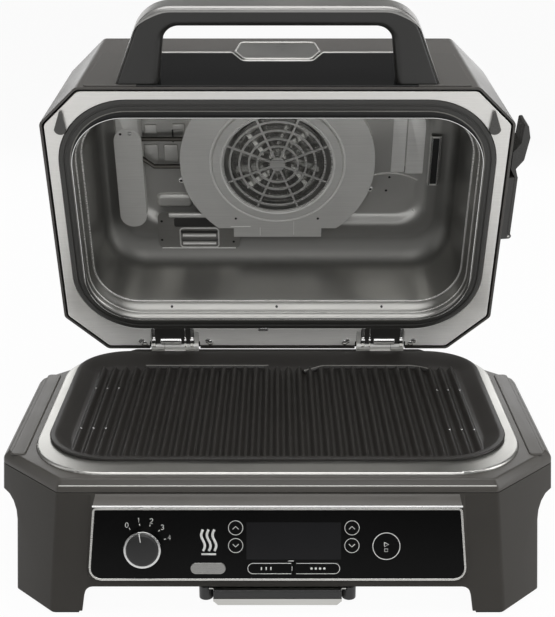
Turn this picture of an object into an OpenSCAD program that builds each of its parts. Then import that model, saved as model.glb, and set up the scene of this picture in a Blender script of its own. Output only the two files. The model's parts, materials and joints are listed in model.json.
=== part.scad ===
// Electric outdoor grill with a hinged, fan-heated lid, shown with the lid open.
// The sections below are measured from the front of the feet; stand() then moves the
// origin to the ground under the middle of the open grill.

/* [Base] */
// Width of the deck across the carry grips
deck_w = 612; // [590:1:630]
// How far each carry grip reaches out past the legs
grip_out = 19; // [16:0.5:24]
// Depth from the front of the feet to the back of the deck
base_d = 436; // [430:1:446]
// Height of the deck above the ground
deck_z = 140.5; // [137:0.5:142]
// Backward lean of the front face
face_lean = 14.8; // [12:0.1:16]
// Distance of the front face's corner at the feet from the deck's side
face_cut = 64; // [60:0.5:68]
// How much narrower the front face is at the deck
face_taper = 18; // [8:1:24]
// Distance of the back face's corner from the deck's side
rear_cut = 110; // [104:0.5:116]
// Wall of the plastic housing and deck
wall = 3.5; // [2.5:0.1:4]
// Depth of the deck's skirt below its top
skirt_h = 13.5; // [12:0.5:15]
// Height of the bevel round the deck's edge
bevel_h = 7; // [4:0.5:8]
// Width of the bevel round the deck's edge
bevel_w = 6; // [3:0.5:7]
// Height of each carry grip's outer lip
grip_h = 40; // [34:1:44]
// Height of the cove under each carry grip
cove_h = 25; // [18:1:28]
// Radius of the base's upright edges
edge_r = 8; // [4:1:10]
// Height of the openings between the legs
arch_z = 29.5; // [28:0.5:32]
// Corner radius of those openings
arch_r = 9; // [5:1:12]
// Width of a leg's front face at the ground
leg_w = 33; // [28:1:40]
// Length of a leg along the side of the base
leg_d = 92; // [80:1:100]
// Length of a rear leg along the side of the base
leg_rear_d = 112; // [100:1:120]
// Width of a rear leg's back face
rear_leg_w = 12; // [8:0.5:20]
// Thickness of the floor plates of the legs
sole_t = 3; // [2:0.5:4]
// Height of the rubber pads
pad_h = 4; // [3:0.5:5]
// Thickness of the steel bottom pan
pan_t = 1.2; // [1:0.1:1.6]

/* [Cooking well] */
// Width of the deck between its edge and the plate's rim
deck_side = 46; // [45:0.5:50]
// Depth of the grill plate across its rim
plate_d = 329; // [322:1:330]
// Distance from the front of the feet to the plate's rim
plate_y = 76; // [74:0.5:77]
// Corner radius of the plate's rim at the front
plate_r = 76; // [68:1:80]
// Corner radius of the plate's rim at the back
plate_rear_r = 64; // [62:1:76]
// Width of the plate's rim
lip_w = 5.5; // [4:0.5:7]
// How far the plate's side walls run in to the floor
side_slope = 19; // [15:0.5:22]
// How far the plate's front wall runs in to the floor
front_slope = 8; // [6:0.5:11]
// How far the plate's back wall runs in to the floor
rear_slope = 41; // [36:0.5:44]
// Clearance between the plate's rim and the closed lid's gasket
seal_gap = 0.3; // [0.2:0.05:0.5]
// Depth of the cooking floor below the trim ring
floor_drop = 3; // [2:0.5:4]
// Thickness of the cooking floor
floor_t = 5; // [4:0.5:6]
// How far the plate's rim laps the trim ring
plate_lap = 6; // [5:0.5:8]
// Distance between ribs
rib_pitch = 14.1; // [12:0.1:16]
// Height of a rib
rib_h = 6.5; // [4:0.5:7]
// Width of a rib at its foot
rib_w = 6.4; // [5:0.2:7]
// Width of a rib at its crest
rib_crest = 3; // [2:0.2:4]
// Width of the drain gap in the plate's back ledge
drain_gap = 44; // [30:1:60]
// Sideways place of that gap
drain_x = 12; // [-20:1:20]
// Width of the trim ring beside the plate
ring_side = 12.8; // [12:0.2:14]
// Width of the trim ring before the plate
ring_front = 28; // [24:0.5:29]
// Width of the trim ring behind the plate
ring_back = 8; // [7:0.5:8.5]
// Outer corner radius of the trim ring
ring_r = 88; // [80:1:95]
// Thickness of the trim ring's sheet
ring_t = 1.5; // [1.2:0.1:1.8]
// How far the ring laps the well's opening in the deck
ring_lap = 12; // [10:1:14]
// Wall of the heat pot
pot_t = 1.5; // [1.2:0.1:2]
// Height of the heat pot's floor
pot_z = 66; // [60:1:72]
// Radius of the pot's drain
drain_r = 9; // [7:0.5:11]
// Distance from the front of the feet to the drain
drain_y = 150; // [130:1:165]
// Diameter of the heating tubes
tube_d = 6.5; // [6:0.1:7]
// Height of the lower heating tube
coil_z = 118; // [112:1:122]
// Number of straight runs in the lower heating tube
coil_runs = 6; // [4:2:6]
// Distance between those runs
coil_pitch = 44; // [40:1:46]
// Length of those runs
coil_len = 316; // [300:1:318]

/* [Control panel] */
// Width of the panel at its top
panel_top_w = 386; // [376:1:392]
// Width of the panel at its foot
panel_w = 397; // [394:1:402]
// Height of the panel's foot along the leaning face
panel_s = 41.5; // [40:0.5:43]
// Height of the panel
panel_h = 73.5; // [72:0.5:75]
// How far the panel's surround stands out of the face
fascia_h = 5; // [3:0.5:6]
// Height of the sloped ledge above the panel
ledge_h = 13; // [9:0.5:14]
// Thickness of the panel
panel_t = 2.2; // [1.8:0.1:2.6]
// Corner radius of the panel's foot
panel_r = 11; // [8:1:14]
// Width of the silver bezel
bezel_w = 2.2; // [1.6:0.1:2.6]
// How far the bezel stands proud of the panel
bezel_rise = 0.6; // [0.4:0.1:1]
// Sideways place of the dial
dial_x = -141.8; // [-145:0.2:-138]
// Height of the dial along the face
dial_s = 75; // [72:0.2:77]
// Diameter of the dial
dial_d = 39; // [37:0.5:41]
// How far the dial stands out
dial_h = 17; // [14:0.5:19]
// Diameter of the dial's shaft
shaft_d = 6; // [5:0.1:7]
// Sideways place of the display and its keys
display_x = 17.2; // [15:0.2:19]
// Width of the display
display_w = 100; // [94:1:104]
// Height of the display
display_h = 40; // [36:0.5:41]
// Height of the display's middle along the face
display_s = 81.8; // [80:0.2:83]
// Distance between the two columns of arrow keys
key_span = 122.8; // [121:0.2:126]
// Distance between the two arrow keys of a column
key_pitch = 19; // [18:0.2:20]
// Height of the arrow keys' middle along the face
key_s = 86.6; // [85:0.2:88]
// Diameter of an arrow key
key_d = 16.6; // [15:0.2:17]
// Width of the pair of mode keys
mode_w = 99; // [94:1:102]
// Height of the mode keys
mode_h = 12; // [10:0.5:13]
// Height of the mode keys' middle along the face
mode_s = 52.4; // [51:0.2:54]
// Width of the smoke key
smoke_key_w = 37; // [32:0.5:40]
// Sideways place of the smoke key
smoke_key_x = -73.5; // [-76:0.2:-71]
// Diameter of the start key
start_d = 30; // [26:0.5:32]
// Sideways place of the start key
start_x = 115; // [112:0.2:118]
// Height of the start key along the face
start_s = 76.4; // [74:0.2:79]
// Clearance round a key
key_gap = 0.3; // [0.2:0.05:0.4]
// How far the keys stand proud of the panel
key_rise = 0.8; // [0.4:0.1:1.2]
// Travel of a key
key_travel = 1; // [0.6:0.1:1.2]
// Depth of the circuit board behind the panel
board_depth = 12; // [11:0.5:14]

/* [Grease tray] */
// Width of the tray's body
tray_w = 137; // [130:1:142]
// Length of the tray
tray_d = 196; // [180:1:205]
// Height of the tray's floor above the ground
tray_z = 12; // [10:0.5:13]
// Depth of the tray
tray_h = 16; // [13:0.5:16]
// Thickness of the tray's sheet
tray_t = 1.2; // [1:0.1:1.5]
// Width of the tray's side flanges
flange_w = 5; // [4:0.5:6]
// Width of a runner
runner_w = 15; // [13:0.5:18]
// Clearance of the tray in its runners
tray_gap = 0.4; // [0.3:0.05:0.5]

/* [Lid] */
// Angle at which the lid stands open
lid_open = 72; // [68:0.5:74]
// Distance from the front of the feet to the hinge axis
hinge_y = 420; // [418:0.5:421]
// Height of the hinge axis and of the closed lid's rim
hinge_z = 148; // [147.5:0.5:149]
// Width of the lid at its rim
lid_w = 568; // [562:1:572]
// Distance from the hinge axis to the front of the rim
lid_front = 386; // [384:0.5:388]
// How far the rim reaches behind the hinge axis
lid_rear = 4; // [2:0.5:5]
// Height of the lid's walls
lid_h = 150; // [147:1:156]
// Inward draft of each side wall over that height
lid_draft = 17; // [14:0.5:20]
// Backward draft of the front wall over that height
front_draft = 6; // [4:0.5:9]
// How far the back wall bulges behind the rim
lid_bulge = 22; // [18:0.5:24]
// Height of that bulge
bulge_v = 40; // [36:1:46]
// Corner cut at the front of the lid
lid_cut = 47; // [43:1:50]
// Corner cut at the back of the lid
lid_cut_rear = 54; // [50:1:60]
// Corner cut at the back of the lid's bulge
bulge_cut = 46; // [42:1:54]
// Height of the roof's bevel
crown_h = 16; // [12:0.5:20]
// Width of the roof's bevel
crown_w = 22; // [16:0.5:26]
// Wall of the lid's outer shell
shell_t = 3; // [2.4:0.1:3.2]
// Radius of the lid's edges
lid_edge_r = 9; // [5:1:12]
// Gap between the trim frame and the shell
trim_gap = 2.4; // [1.6:0.1:3]
// Thickness of the trim frame
trim_t = 2.5; // [2:0.1:3]
// Width of the rim between the lid's side and the liner's mouth
mouth_band = 34; // [32:0.5:35]
// Distance from the hinge axis to the front of the liner's mouth
mouth_front = 354; // [353.5:0.5:355]
// Distance from the hinge axis to the back of the liner's mouth
mouth_rear = 46; // [42:0.5:48]
// Corner radius of the liner's mouth
mouth_r = 72; // [66:1:76]
// Depth of the liner
liner_h = 128; // [124:1:130]
// Sheet of the liner
liner_t = 1.2; // [1:0.1:1.5]
// Inward draft of the liner's walls
liner_draft = 7; // [5:0.5:8]
// Radius between the liner's walls and roof
liner_r = 26; // [22:1:27]
// Height at which the liner's back wall starts to curve over
cove_v = 40; // [32:1:50]
// How far that wall curves over before it meets the roof
cove_w = 58; // [48:1:62]
// Width of the gasket
gasket_w = 14; // [12:0.5:15]
// How far the gasket stands below the rim
gasket_drop = 0.3; // [0.2:0.1:0.8]
// Gap between the gasket and the liner's mouth
gasket_gap = 0.4; // [0.3:0.1:0.8]
// Thickness of the gloss front panel
gloss_t = 1.5; // [1.2:0.1:2]
// Height of the gloss front panel
gloss_h = 100; // [90:1:106]
// Width of the bare badge plate
badge_w = 108; // [96:1:112]
// Height of the bare badge plate
badge_h = 56; // [50:1:58]
// Height of the bare badge plate's foot
badge_v = 77; // [74:1:80]
// Thickness of the bare badge plate
badge_t = 2.4; // [2:0.1:3]

/* [Handle] */
// Width of the handle across its feet
handle_w = 376; // [360:1:384]
// Width of the handle's inside at its feet
handle_in_w = 278; // [262:1:282]
// Reach of the handle out of the front panel
handle_reach = 92; // [84:1:96]
// Width of the handle across its bar
handle_top_w = 304; // [290:1:312]
// Width of the handle's inside under its bar
handle_top_in_w = 262; // [246:1:266]
// Thickness of the handle's bar
bar_t = 20; // [17:0.5:22]
// Depth of the handle
bar_d = 26; // [22:0.5:28]
// Height of the handle above the rim
handle_v = 5; // [4:0.5:8]
// Outer radius of the handle's bends
bend_r = 46; // [40:1:52]
// Inner radius of the handle's bends
bend_in_r = 20; // [16:1:24]
// Thickness of the metal strip on the handle
strip_t = 1.6; // [1.2:0.1:2]
// How far the strip stays in from the handle's edges
strip_in = 1.5; // [1:0.1:3]

/* [Fan and lid heater] */
// Distance from the hinge axis to the fan's axis
fan_u = 221; // [216:1:222]
// Radius of the fan's opening
fan_r = 73; // [70:0.5:76]
// Radius of the shroud
shroud_r = 129; // [126:0.5:131]
// Height of the shroud below the liner's roof
shroud_h = 19; // [17:0.5:21]
// Sheet of the shroud, vent plate and baffle
sheet_t = 1.2; // [1:0.1:1.5]
// Radius of the shroud's raised ring
raised_r = 87; // [84:0.5:92]
// Height of the shroud's raised ring
raised_h = 3; // [2:0.5:4]
// Distance from the fan's axis to the shroud's flat edge
shroud_flat = 101; // [98:0.5:106]
// Width of the shroud's fixing tab
tab_w = 120; // [100:1:124]
// Reach of the shroud's tab beyond its rim
tab_reach = 14; // [10:0.5:18]
// Width of the fan guard's rings
guard_w = 2.6; // [2:0.1:3.2]
// Thickness of the fan guard
guard_t = 1.6; // [1.2:0.1:2]
// Radius of the guard's hub
hub_r = 10; // [8:0.5:12]
// Number of spokes in the guard
spokes = 8; // [6:1:10]
// Radius of the fan wheel
wheel_r = 64; // [58:0.5:66]
// Number of fan blades
blades = 12; // [8:1:14]
// Height of the fan blades
blade_h = 8; // [6:0.5:9]
// Thickness of the fan's sheet
wheel_t = 1.2; // [1:0.1:1.5]
// Diameter of the fan's shaft
fan_shaft_d = 6; // [5:0.1:7]
// Radius of the fan motor
motor_r = 36; // [30:0.5:40]
// Height of the fan motor
motor_h = 24; // [18:0.5:26]
// Radius of the lid heater's ring
heater_r = 90; // [86:0.5:91]
// Distance from the liner's side to the heater's two ends
heater_in = 72; // [66:0.5:76]
// Distance from the fan's axis to the heater's front end
heater_front = 32; // [28:0.5:36]
// Distance from the fan's axis to the heater's rear end
heater_rear = 9; // [6:0.5:12]

/* [Hinges] */
// Distance of each hinge from the middle
hinge_x = 139; // [134:0.5:142]
// Width of a hinge
hinge_w = 64; // [60:1:68]
// Width of a hinge's middle knuckle
knuckle_w = 28; // [24:0.5:30]
// Radius of the knuckles
knuckle_r = 4.5; // [4:0.1:4.8]
// Diameter of the hinge pins
pin_d = 5; // [4.5:0.1:5.5]
// Thickness of the hinge leaves
leaf_t = 2; // [1.6:0.1:2.2]
// Length of the lid's leaves
leaf_len = 25; // [22:0.5:26]
// Running clearance of a pin
pin_gap = 0.05; // [0.03:0.01:0.08]
// Gap between the knuckles
knuckle_gap = 0.4; // [0.3:0.1:0.6]

/* [Smoke box] */
// Distance from the hinge axis to the front of the smoke box
box_front = 252; // [246:1:256]
// Length of the smoke box
box_len = 84; // [76:1:88]
// Height of the smoke box above the rim
box_v = 20; // [16:1:24]
// Height of the smoke box
box_h = 78; // [70:1:84]
// How far the smoke box stands out
box_out = 14; // [13:0.5:17]
// Wall of the smoke box
box_t = 2.5; // [2:0.1:3]
// Thickness of the smoke box's cover
cover_t = 4; // [3:0.5:5]
// Gap between the smoke box and its cover
cover_gap = 0.3; // [0.2:0.1:0.5]
// Height of the cover's thumb lever
lever_h = 28; // [22:1:36]
// Length of the cover's thumb lever
lever_len = 72; // [64:1:76]
// How far the lever hooks out past the cover
lever_out = 9; // [6:0.5:10]
// Clearance of the lever from the lid's side
lever_in = 8; // [6:0.5:10]
// Thickness of the lever's arm
lever_t = 9; // [7:0.5:11]
// Radius of the cover's knuckle
cover_knuckle_r = 3.6; // [3.2:0.1:4]
// Diameter of the cover's pin
cover_pin_d = 3; // [2.6:0.1:3.4]

/* [Hidden] */
$fn = 48;
// Chords in a rounded corner of an outline
corner_n = 4;
// Chords in a wide corner that shows
wide_n = 8;
// A cut runs this far past the face it opens
past = 1;
// Clearance between pieces that only sit side by side
fit_gap = 0.3;
// Radius of a corner that is left sharp
sharp = 0.1;

// Derived sizes of the base
lean_k = tan(face_lean);
plate_w = deck_w - 2 * deck_side;
face_w = deck_w - 2 * face_cut;
rear_w = deck_w - 2 * rear_cut;
rear_arch_w = rear_w - 2 * rear_leg_w;
legs_hw = deck_w / 2 - grip_out;
grip_hw = deck_w / 2;
seam_z = deck_z - skirt_h;
lip_z = deck_z - grip_h;
cove_z = lip_z - cove_h;
cove_steps = 4;
pan_lift = 2;
pan_z = arch_z + pan_lift;
ring_z = deck_z + 2 * ring_t;
ring_roll = 2 * ring_t;
plate_mid_y = plate_y + plate_d / 2;
ring_mid_y = plate_mid_y + (ring_back - ring_front) / 2;
rim_z = hinge_z - gasket_drop - seal_gap;
ring_w = plate_w + 2 * ring_side;
ring_d = plate_d + ring_front + ring_back;
well_w = ring_w - 2 * ring_lap;
well_d = ring_d - 2 * ring_lap;
well_r = ring_r - ring_lap;
pot_w = well_w - 2 * fit_gap;
pot_d = well_d - 2 * fit_gap;
pot_r = well_r - fit_gap;
plate_floor_z = ring_z - floor_drop;
panel_mid_s = panel_s + panel_h / 2;

// Derived sizes of the lid, along the rim from the hinge axis and up from the rim
lid_roof = lid_h + crown_h;
face_tilt = atan(front_draft / lid_h);
side_tilt = atan(lid_draft / lid_h);
trim_in = shell_t + trim_gap;
mouth_x = lid_w / 2 - mouth_band;
mouth_w = 2 * mouth_x;
mouth_d = mouth_front - mouth_rear;
mouth_mid = (mouth_front + mouth_rear) / 2;
gasket_in = liner_t + gasket_gap;
gasket_out = gasket_in + gasket_w;
shroud_v = liner_h - shroud_h;
guard_v = shroud_v - raised_h + sheet_t;
wheel_gap = 2;
wheel_v = guard_v + guard_t + wheel_gap;
heater_v = liner_h - shroud_h / 2;

// Eight-sided outlines are [half width, front, back, front corner cut, back corner cut]
function eight(o) = [
    [o[3] - o[0], o[1]], [o[0] - o[3], o[1]], [o[0], o[1] + o[3]], [o[0], o[2] - o[4]],
    [o[0] - o[4], o[2]], [o[4] - o[0], o[2]], [-o[0], o[2] - o[4]], [-o[0], o[1] + o[3]]
];
// The same outline drawn in by w on every side
corner_k = 2 - sqrt(2);
function eight_in(o, w) = [o[0] - w, o[1] + w, o[2] - w, o[3] - corner_k * w, o[4] - corner_k * w];

// Rectangle about the origin, width w and depth d
function four(w, d) = [[-w / 2, -d / 2], [w / 2, -d / 2], [w / 2, d / 2], [-w / 2, d / 2]];

// Any outline, taken anticlockwise, with its corners turned into arcs; r is a list of radii used in turn
function unit(v) = v / norm(v);
function right_of(d) = [d.y, -d.x];
function arc_at(a, b, c, r, steps) =
    let (n1 = right_of(unit(b - a)), n2 = right_of(unit(c - b)))
    let (side = cross(n1, n2) < 0 ? -1 : 1, mid = b - side * r * (n1 + n2) / (1 + n1 * n2))
    let (start = atan2(n1.y, n1.x), sweep = side * acos(min(1, max(-1, n1 * n2))))
    [for (k = [0:steps]) let (a = start + sweep * k / steps) mid + side * r * [cos(a), sin(a)]];
function rounded(pts, r, steps = corner_n) =
    let (n = len(pts))
    [for (i = [0:n - 1]) each arc_at(pts[(i + n - 1) % n], pts[i], pts[(i + 1) % n], r[i % len(r)], steps)];
function lifted(pts, z) = [for (p = pts) [p.x, p.y, z]];

// Skin through rings of points, closed by its first and last ring, or back on itself as a tube
module skin(rings, tube = false) {
    n = len(rings[0]);
    m = len(rings);
    spans = tube ? m : m - 1;
    sides = [for (k = [0:spans - 1], i = [0:n - 1])
        let (j = (i + 1) % n, a = k * n, b = ((k + 1) % m) * n)
        each [[a + i, b + i, b + j], [a + i, b + j, a + j]]];
    ends = tube ? [] : [[for (i = [0:n - 1]) i], [for (i = [n - 1:-1:0]) (m - 1) * n + i]];
    polyhedron(points = [for (r = rings) each r], faces = concat(sides, ends));
}

// Round bar of diameter d along a flat path at height z
module bent_tube(path, d, z, sides = 8) {
    n = len(path);
    skin([for (i = [0:n - 1])
        let (along = unit(path[min(i + 1, n - 1)] - path[max(i - 1, 0)]), across = right_of(along))
        [for (k = [0:sides - 1]) let (a = -360 * k / sides)
            let (p = path[i] + d / 2 * cos(a) * across) [p.x, p.y, z + d / 2 * sin(a)]]]);
}

// Arc of points about c, radius r, from angle a to angle b
arc_n = 6;
function arc(c, r, a, b, n = arc_n) =
    [for (k = [0:n]) let (t = a + (b - a) * k / n) c + r * [cos(t), sin(t)]];

// Rounded rectangle about the origin
module round_rect(w, d, r) {
    square([w - 2 * r, d], center = true);
    square([w, d - 2 * r], center = true);
    for (x = [-1, 1], y = [-1, 1]) translate([x * (w / 2 - r), y * (d / 2 - r)]) circle(r);
}
// Its ends keep a short straight side, so that no two arcs meet in a point
pill_flat = 0.01;
module pill(w, h) round_rect(w, h, h / 2 - pill_flat);

// Profile, x outwards and y up, carried round a rounded rectangle
module round_frame(w, d, r) for (side = [0, 1]) {
    rotate(180 * side) translate([0, r - d / 2, 0]) rotate([90, 0, 90])
        linear_extrude(w - 2 * r, center = true) mirror([1, 0]) translate([r, 0]) children();
    rotate(90 + 180 * side) translate([0, r - w / 2, 0]) rotate([90, 0, 90])
        linear_extrude(d - 2 * r, center = true) mirror([1, 0]) translate([r, 0]) children();
    for (turn = [0, 180]) mirror([side, 0, 0]) rotate(turn) translate([w / 2 - r, d / 2 - r, 0])
        rotate_extrude(angle = 90) translate([r, 0]) children();
}

// Frames: the part's own origin, the leaning front face, the open lid and its faces
function open_y(u, v) = hinge_y - u * cos(lid_open) + v * sin(lid_open);
back_y = max(
    open_y(-lid_rear - lid_bulge, bulge_v),
    open_y(-lid_rear - lid_bulge / 2, lid_h),
    open_y(crown_w - lid_rear - lid_bulge / 2, lid_roof));
module stand() translate([0, -back_y / 2, 0]) children();
module at_plate() stand() translate([0, plate_mid_y, 0]) children();
module at_ring() stand() translate([0, ring_mid_y, 0]) children();
module on_face() stand() rotate([90 - face_lean, 0, 0]) children();
module on_panel() on_face() translate([0, 0, fascia_h]) children();
module on_hinge() stand() translate([0, hinge_y, hinge_z]) children();
module on_lid() on_hinge() rotate([-lid_open, 0, 0]) children();
module on_mouth() on_lid() translate([0, -mouth_mid, 0]) children();
module on_lid_face() on_lid() translate([0, -lid_front, 0]) rotate([90 - face_tilt, 0, 0]) children();
module on_lid_side() on_lid() translate([lid_w / 2, 0, 0]) rotate([0, -side_tilt, 0]) children();
module at_fan() on_lid() translate([0, -fan_u, 0]) children();
module both_sides(x) for (side = [-1, 1]) translate([side * x, 0, 0]) children();

// Outline of the base at height z, with half width hw
function base_eight(hw, z) =
    let (face_half = (face_w - face_taper * z / deck_z) / 2)
    [hw, z * lean_k, base_d, hw - face_half, hw - rear_w / 2];
function base_ring(o, z) = lifted(rounded(eight(o), [edge_r]), z);

// Openings between the legs
arch_half = face_w / 2 - leg_w;
arch_draft = 4;
side_to = base_d - leg_rear_d;
function arch_outline(from, to) = rounded(
    [[from, -past], [to, -past], [to - arch_draft, arch_z], [from + arch_draft, arch_z]],
    [sharp, sharp, arch_r, arch_r]);
module leg_arches() {
    translate([0, base_d / 2, 0]) rotate([90, 0, 0])
        linear_extrude(base_d / 2 + past) polygon(arch_outline(-arch_half, arch_half));
    translate([0, base_d + past, 0]) rotate([90, 0, 0])
        linear_extrude(base_d / 2) polygon(arch_outline(-rear_arch_w / 2, rear_arch_w / 2));
    rotate([90, 0, 90]) linear_extrude(deck_w + 2 * past, center = true)
        polygon(arch_outline(leg_d, side_to));
}

// Footprint of the four legs, drawn in by inset
module sole_outline(inset) intersection() {
    polygon(rounded(eight(eight_in(base_eight(legs_hw, pad_h), inset)), [edge_r]));
    for (x = [0, 1]) mirror([x, 0]) {
        translate([arch_half + inset, -past]) square([legs_hw, leg_d + past - inset]);
        translate([rear_arch_w / 2 + inset, side_to + inset]) square([legs_hw, leg_rear_d + past]);
    }
}

// Lower housing: a leaning shell on four legs that flares out into the carry grips
gland_r = 8;
gland_x = -150;
gland_z = 62;
window_w = panel_top_w - 50;
window_h = panel_h - 5;
module base_housing() color("#3b3a38") stand() {
    cove = [for (k = [0:cove_steps]) let (a = 90 * k / cove_steps)
        [legs_hw + (grip_hw - legs_hw) * (1 - cos(a)), cove_z + cove_h * sin(a)]];
    stations = concat([[legs_hw, pad_h]], cove, [[grip_hw, seam_z]]);
    difference() {
        skin(concat(
            [for (s = stations) base_ring(base_eight(s[0], s[1]), s[1])],
            [for (z = [seam_z, pad_h]) base_ring(eight_in(base_eight(legs_hw, z), wall), z)]), tube = true);
        leg_arches();
        rotate([90 - face_lean, 0, 0]) translate([0, panel_mid_s, 0])
            cube([window_w, window_h, 4 * wall], center = true);
        translate([gland_x, base_d + past, gland_z]) rotate([90, 0, 0])
            cylinder(r = gland_r, h = wall + 2 * past);
    }
    translate([0, 0, pad_h]) linear_extrude(sole_t) sole_outline(wall / 2);
    rotate([90 - face_lean, 0, 0]) difference() {
        skin([
            lifted(fascia_outline(fascia_h / 2, ledge_h), -wall / 2),
            lifted(fascia_outline(fascia_h / 2, ledge_h), 0),
            lifted(fascia_outline(0, 0), fascia_h)
        ]);
        translate([0, panel_mid_s, 0]) cube([window_w, window_h, 4 * (wall + fascia_h)], center = true);
    }
}

// Surround of the control panel: a raised block with bevelled sides and a wide sloped ledge on top
fascia_edge = 1;
panel_top_r = 2;
function fascia_outline(grow, ledge) =
    let (rim = bezel_w + fascia_edge, side = rim + grow, foot = panel_s - rim)
    let (top = panel_s + panel_h + rim + ledge)
    rounded([
        [-panel_w / 2 - side, foot], [panel_w / 2 + side, foot],
        [panel_top_w / 2 + side, top], [-panel_top_w / 2 - side, top]],
        [panel_r, panel_r, panel_top_r, panel_top_r]);

// Top deck with its skirt, bevelled edge and the opening for the well
module deck_cover() color("#45433f") stand() difference() {
    edge = base_eight(grip_hw, deck_z - bevel_h);
    skin([
        base_ring(eight_in(edge, wall + bevel_w / 2), deck_z - wall),
        base_ring(eight_in(base_eight(grip_hw, seam_z), wall), seam_z),
        base_ring(base_eight(grip_hw, seam_z), seam_z),
        base_ring(edge, deck_z - bevel_h),
        base_ring(eight_in(edge, bevel_w), deck_z)
    ]);
    translate([0, ring_mid_y, seam_z]) linear_extrude(skirt_h + past) round_rect(well_w, well_d, well_r);
}

// Steel pan that closes the housing's underside
module bottom_pan() color("#77756f") stand() difference() {
    translate([0, 0, pan_z]) linear_extrude(pan_t)
        polygon(rounded(eight(eight_in(base_eight(legs_hw, pan_z + pan_t), wall + 2 * fit_gap)), [edge_r]));
    translate([0, drain_y, pan_z - past]) cylinder(r = drain_r + pot_t + fit_gap, h = pan_t + 2 * past);
}

// Rubber pads under the legs
module foot_pads() color("#1c1c1c") stand() linear_extrude(pad_h) sole_outline(wall);

// Cord gland in the back wall
gland_bore = 4;
gland_lip = 3;
module cord_gland() color("#181818") stand()
    translate([gland_x, base_d + gland_lip, gland_z]) rotate([90, 0, 0]) difference() {
        union() {
            cylinder(r = gland_r + gland_lip, h = gland_lip);
            cylinder(r = gland_r - pin_gap, h = wall + 2 * gland_lip);
        }
        translate([0, 0, -past]) cylinder(r = gland_bore, h = wall + 2 * gland_lip + 2 * past);
    }

// Heat pot hung in the deck by its flange, with a drain spout to the tray
spout_gap = 3;
spout_z = tray_z + tray_h + spout_gap;
module inner_pot() color("#9a978f") at_ring() difference() {
    union() {
        translate([0, 0, deck_z]) linear_extrude(ring_t)
            round_rect(well_w + ring_lap, well_d + ring_lap, well_r + ring_lap / 2);
        translate([0, 0, pot_z]) linear_extrude(deck_z - pot_z + ring_t) round_rect(pot_w, pot_d, pot_r);
        translate([0, drain_y - ring_mid_y, spout_z])
            cylinder(r = drain_r + pot_t, h = pot_z - spout_z + pot_t);
    }
    translate([0, 0, pot_z + pot_t]) linear_extrude(deck_z)
        round_rect(pot_w - 2 * pot_t, pot_d - 2 * pot_t, pot_r - pot_t);
    translate([0, drain_y - ring_mid_y, spout_z - past]) cylinder(r = drain_r, h = pot_z);
    for (x = [coil_end_x, coil_len / 2]) translate([-x, pot_d / 2 + past, coil_z]) rotate([90, 0, 0])
        cylinder(d = tube_d + 2 * fit_gap, h = pot_t + 2 * past);
}

// Lower heating tube: straight runs joined by half-round bends, both ends through the pot's back
coil_r = coil_pitch / 2;
coil_end_x = coil_len / 2 + coil_r;
coil_y = -coil_pitch * coil_runs / 2;
tail_out = 8;
coil_tail = pot_d / 2 + tail_out;
coil_bend_x = coil_len / 2 - coil_r;
coil_path = concat(
    [[-coil_end_x, coil_tail]],
    arc([coil_r - coil_end_x, coil_y + coil_r], coil_r, 180, 270),
    [for (i = [0:coil_runs - 2]) let (y = coil_y + (i + 0.5) * coil_pitch)
        each i % 2 == 0 ? arc([coil_bend_x, y], coil_r, -90, 90) : arc([-coil_bend_x, y], coil_r, 270, 90)],
    arc([-coil_bend_x, coil_y + (coil_runs - 0.5) * coil_pitch], coil_r, 270, 180),
    [[-coil_len / 2, coil_tail]]);
module base_heater() color("#6b5f57") at_ring() bent_tube(coil_path, tube_d, coil_z);

// Outline of the plate's rim drawn in by inset, about the middle of the plate
function plate_ring(inset, rear_r = plate_rear_r) = rounded(four(plate_w - 2 * inset, plate_d - 2 * inset),
    [plate_r - inset, plate_r - inset, rear_r - inset, rear_r - inset], wide_n);

// Steel ring round the plate, rolled down to the deck at its outer edge
module trim_ring() color("#b9b7b1") at_ring() translate([0, 0, deck_z]) {
    flat_w = ring_w - 2 * ring_roll;
    flat_d = ring_d - 2 * ring_roll;
    translate([0, 0, ring_t]) linear_extrude(ring_t) difference() {
        round_rect(flat_w, flat_d, ring_r - ring_roll);
        translate([0, plate_mid_y - ring_mid_y]) polygon(plate_ring(plate_lap, plate_r));
    }
    round_frame(flat_w, flat_d, ring_r - ring_roll) intersection() {
        circle(ring_roll);
        square(ring_roll);
    }
}

// Cast grill plate: a flat rim, sloped walls, a ribbed floor and a drain gap in its back ledge
plate_edge = 1.2;
plate_flare = 1;
plate_run = 0.5;
floor_half = plate_w / 2 - lip_w - side_slope;
floor_front = lip_w + front_slope - plate_d / 2;
floor_back = plate_d / 2 - lip_w - rear_slope;
floor_r = plate_r - lip_w - side_slope;
floor_outline = rounded([
    [-floor_half, floor_front], [floor_half, floor_front],
    [floor_half, floor_back], [-floor_half, floor_back]], [floor_r], wide_n);
rib_room = 8;
rib_last = floor((floor_half - rib_room) / rib_pitch);
rib_root = 1;
ledge_d = 12;
ledge_y = floor_back - ledge_d / 2;
ledge_in = 22;
cheek = 22;
rib_end = plate_lap + 3 * plate_run;
module plate_ribs() intersection() {
    for (i = [-rib_last:rib_last])
        translate([i * rib_pitch, ledge_y - rib_root, plate_floor_z]) rotate([90, 0, 0])
            linear_extrude(ledge_y - floor_front) polygon([
                [-rib_w / 2, -rib_root], [rib_w / 2, -rib_root],
                [rib_crest / 2, rib_h], [-rib_crest / 2, rib_h]]);
    translate([0, 0, plate_floor_z - 2 * rib_root]) linear_extrude(2 * rib_h)
        polygon(plate_ring(rib_end, plate_r));
}
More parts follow.
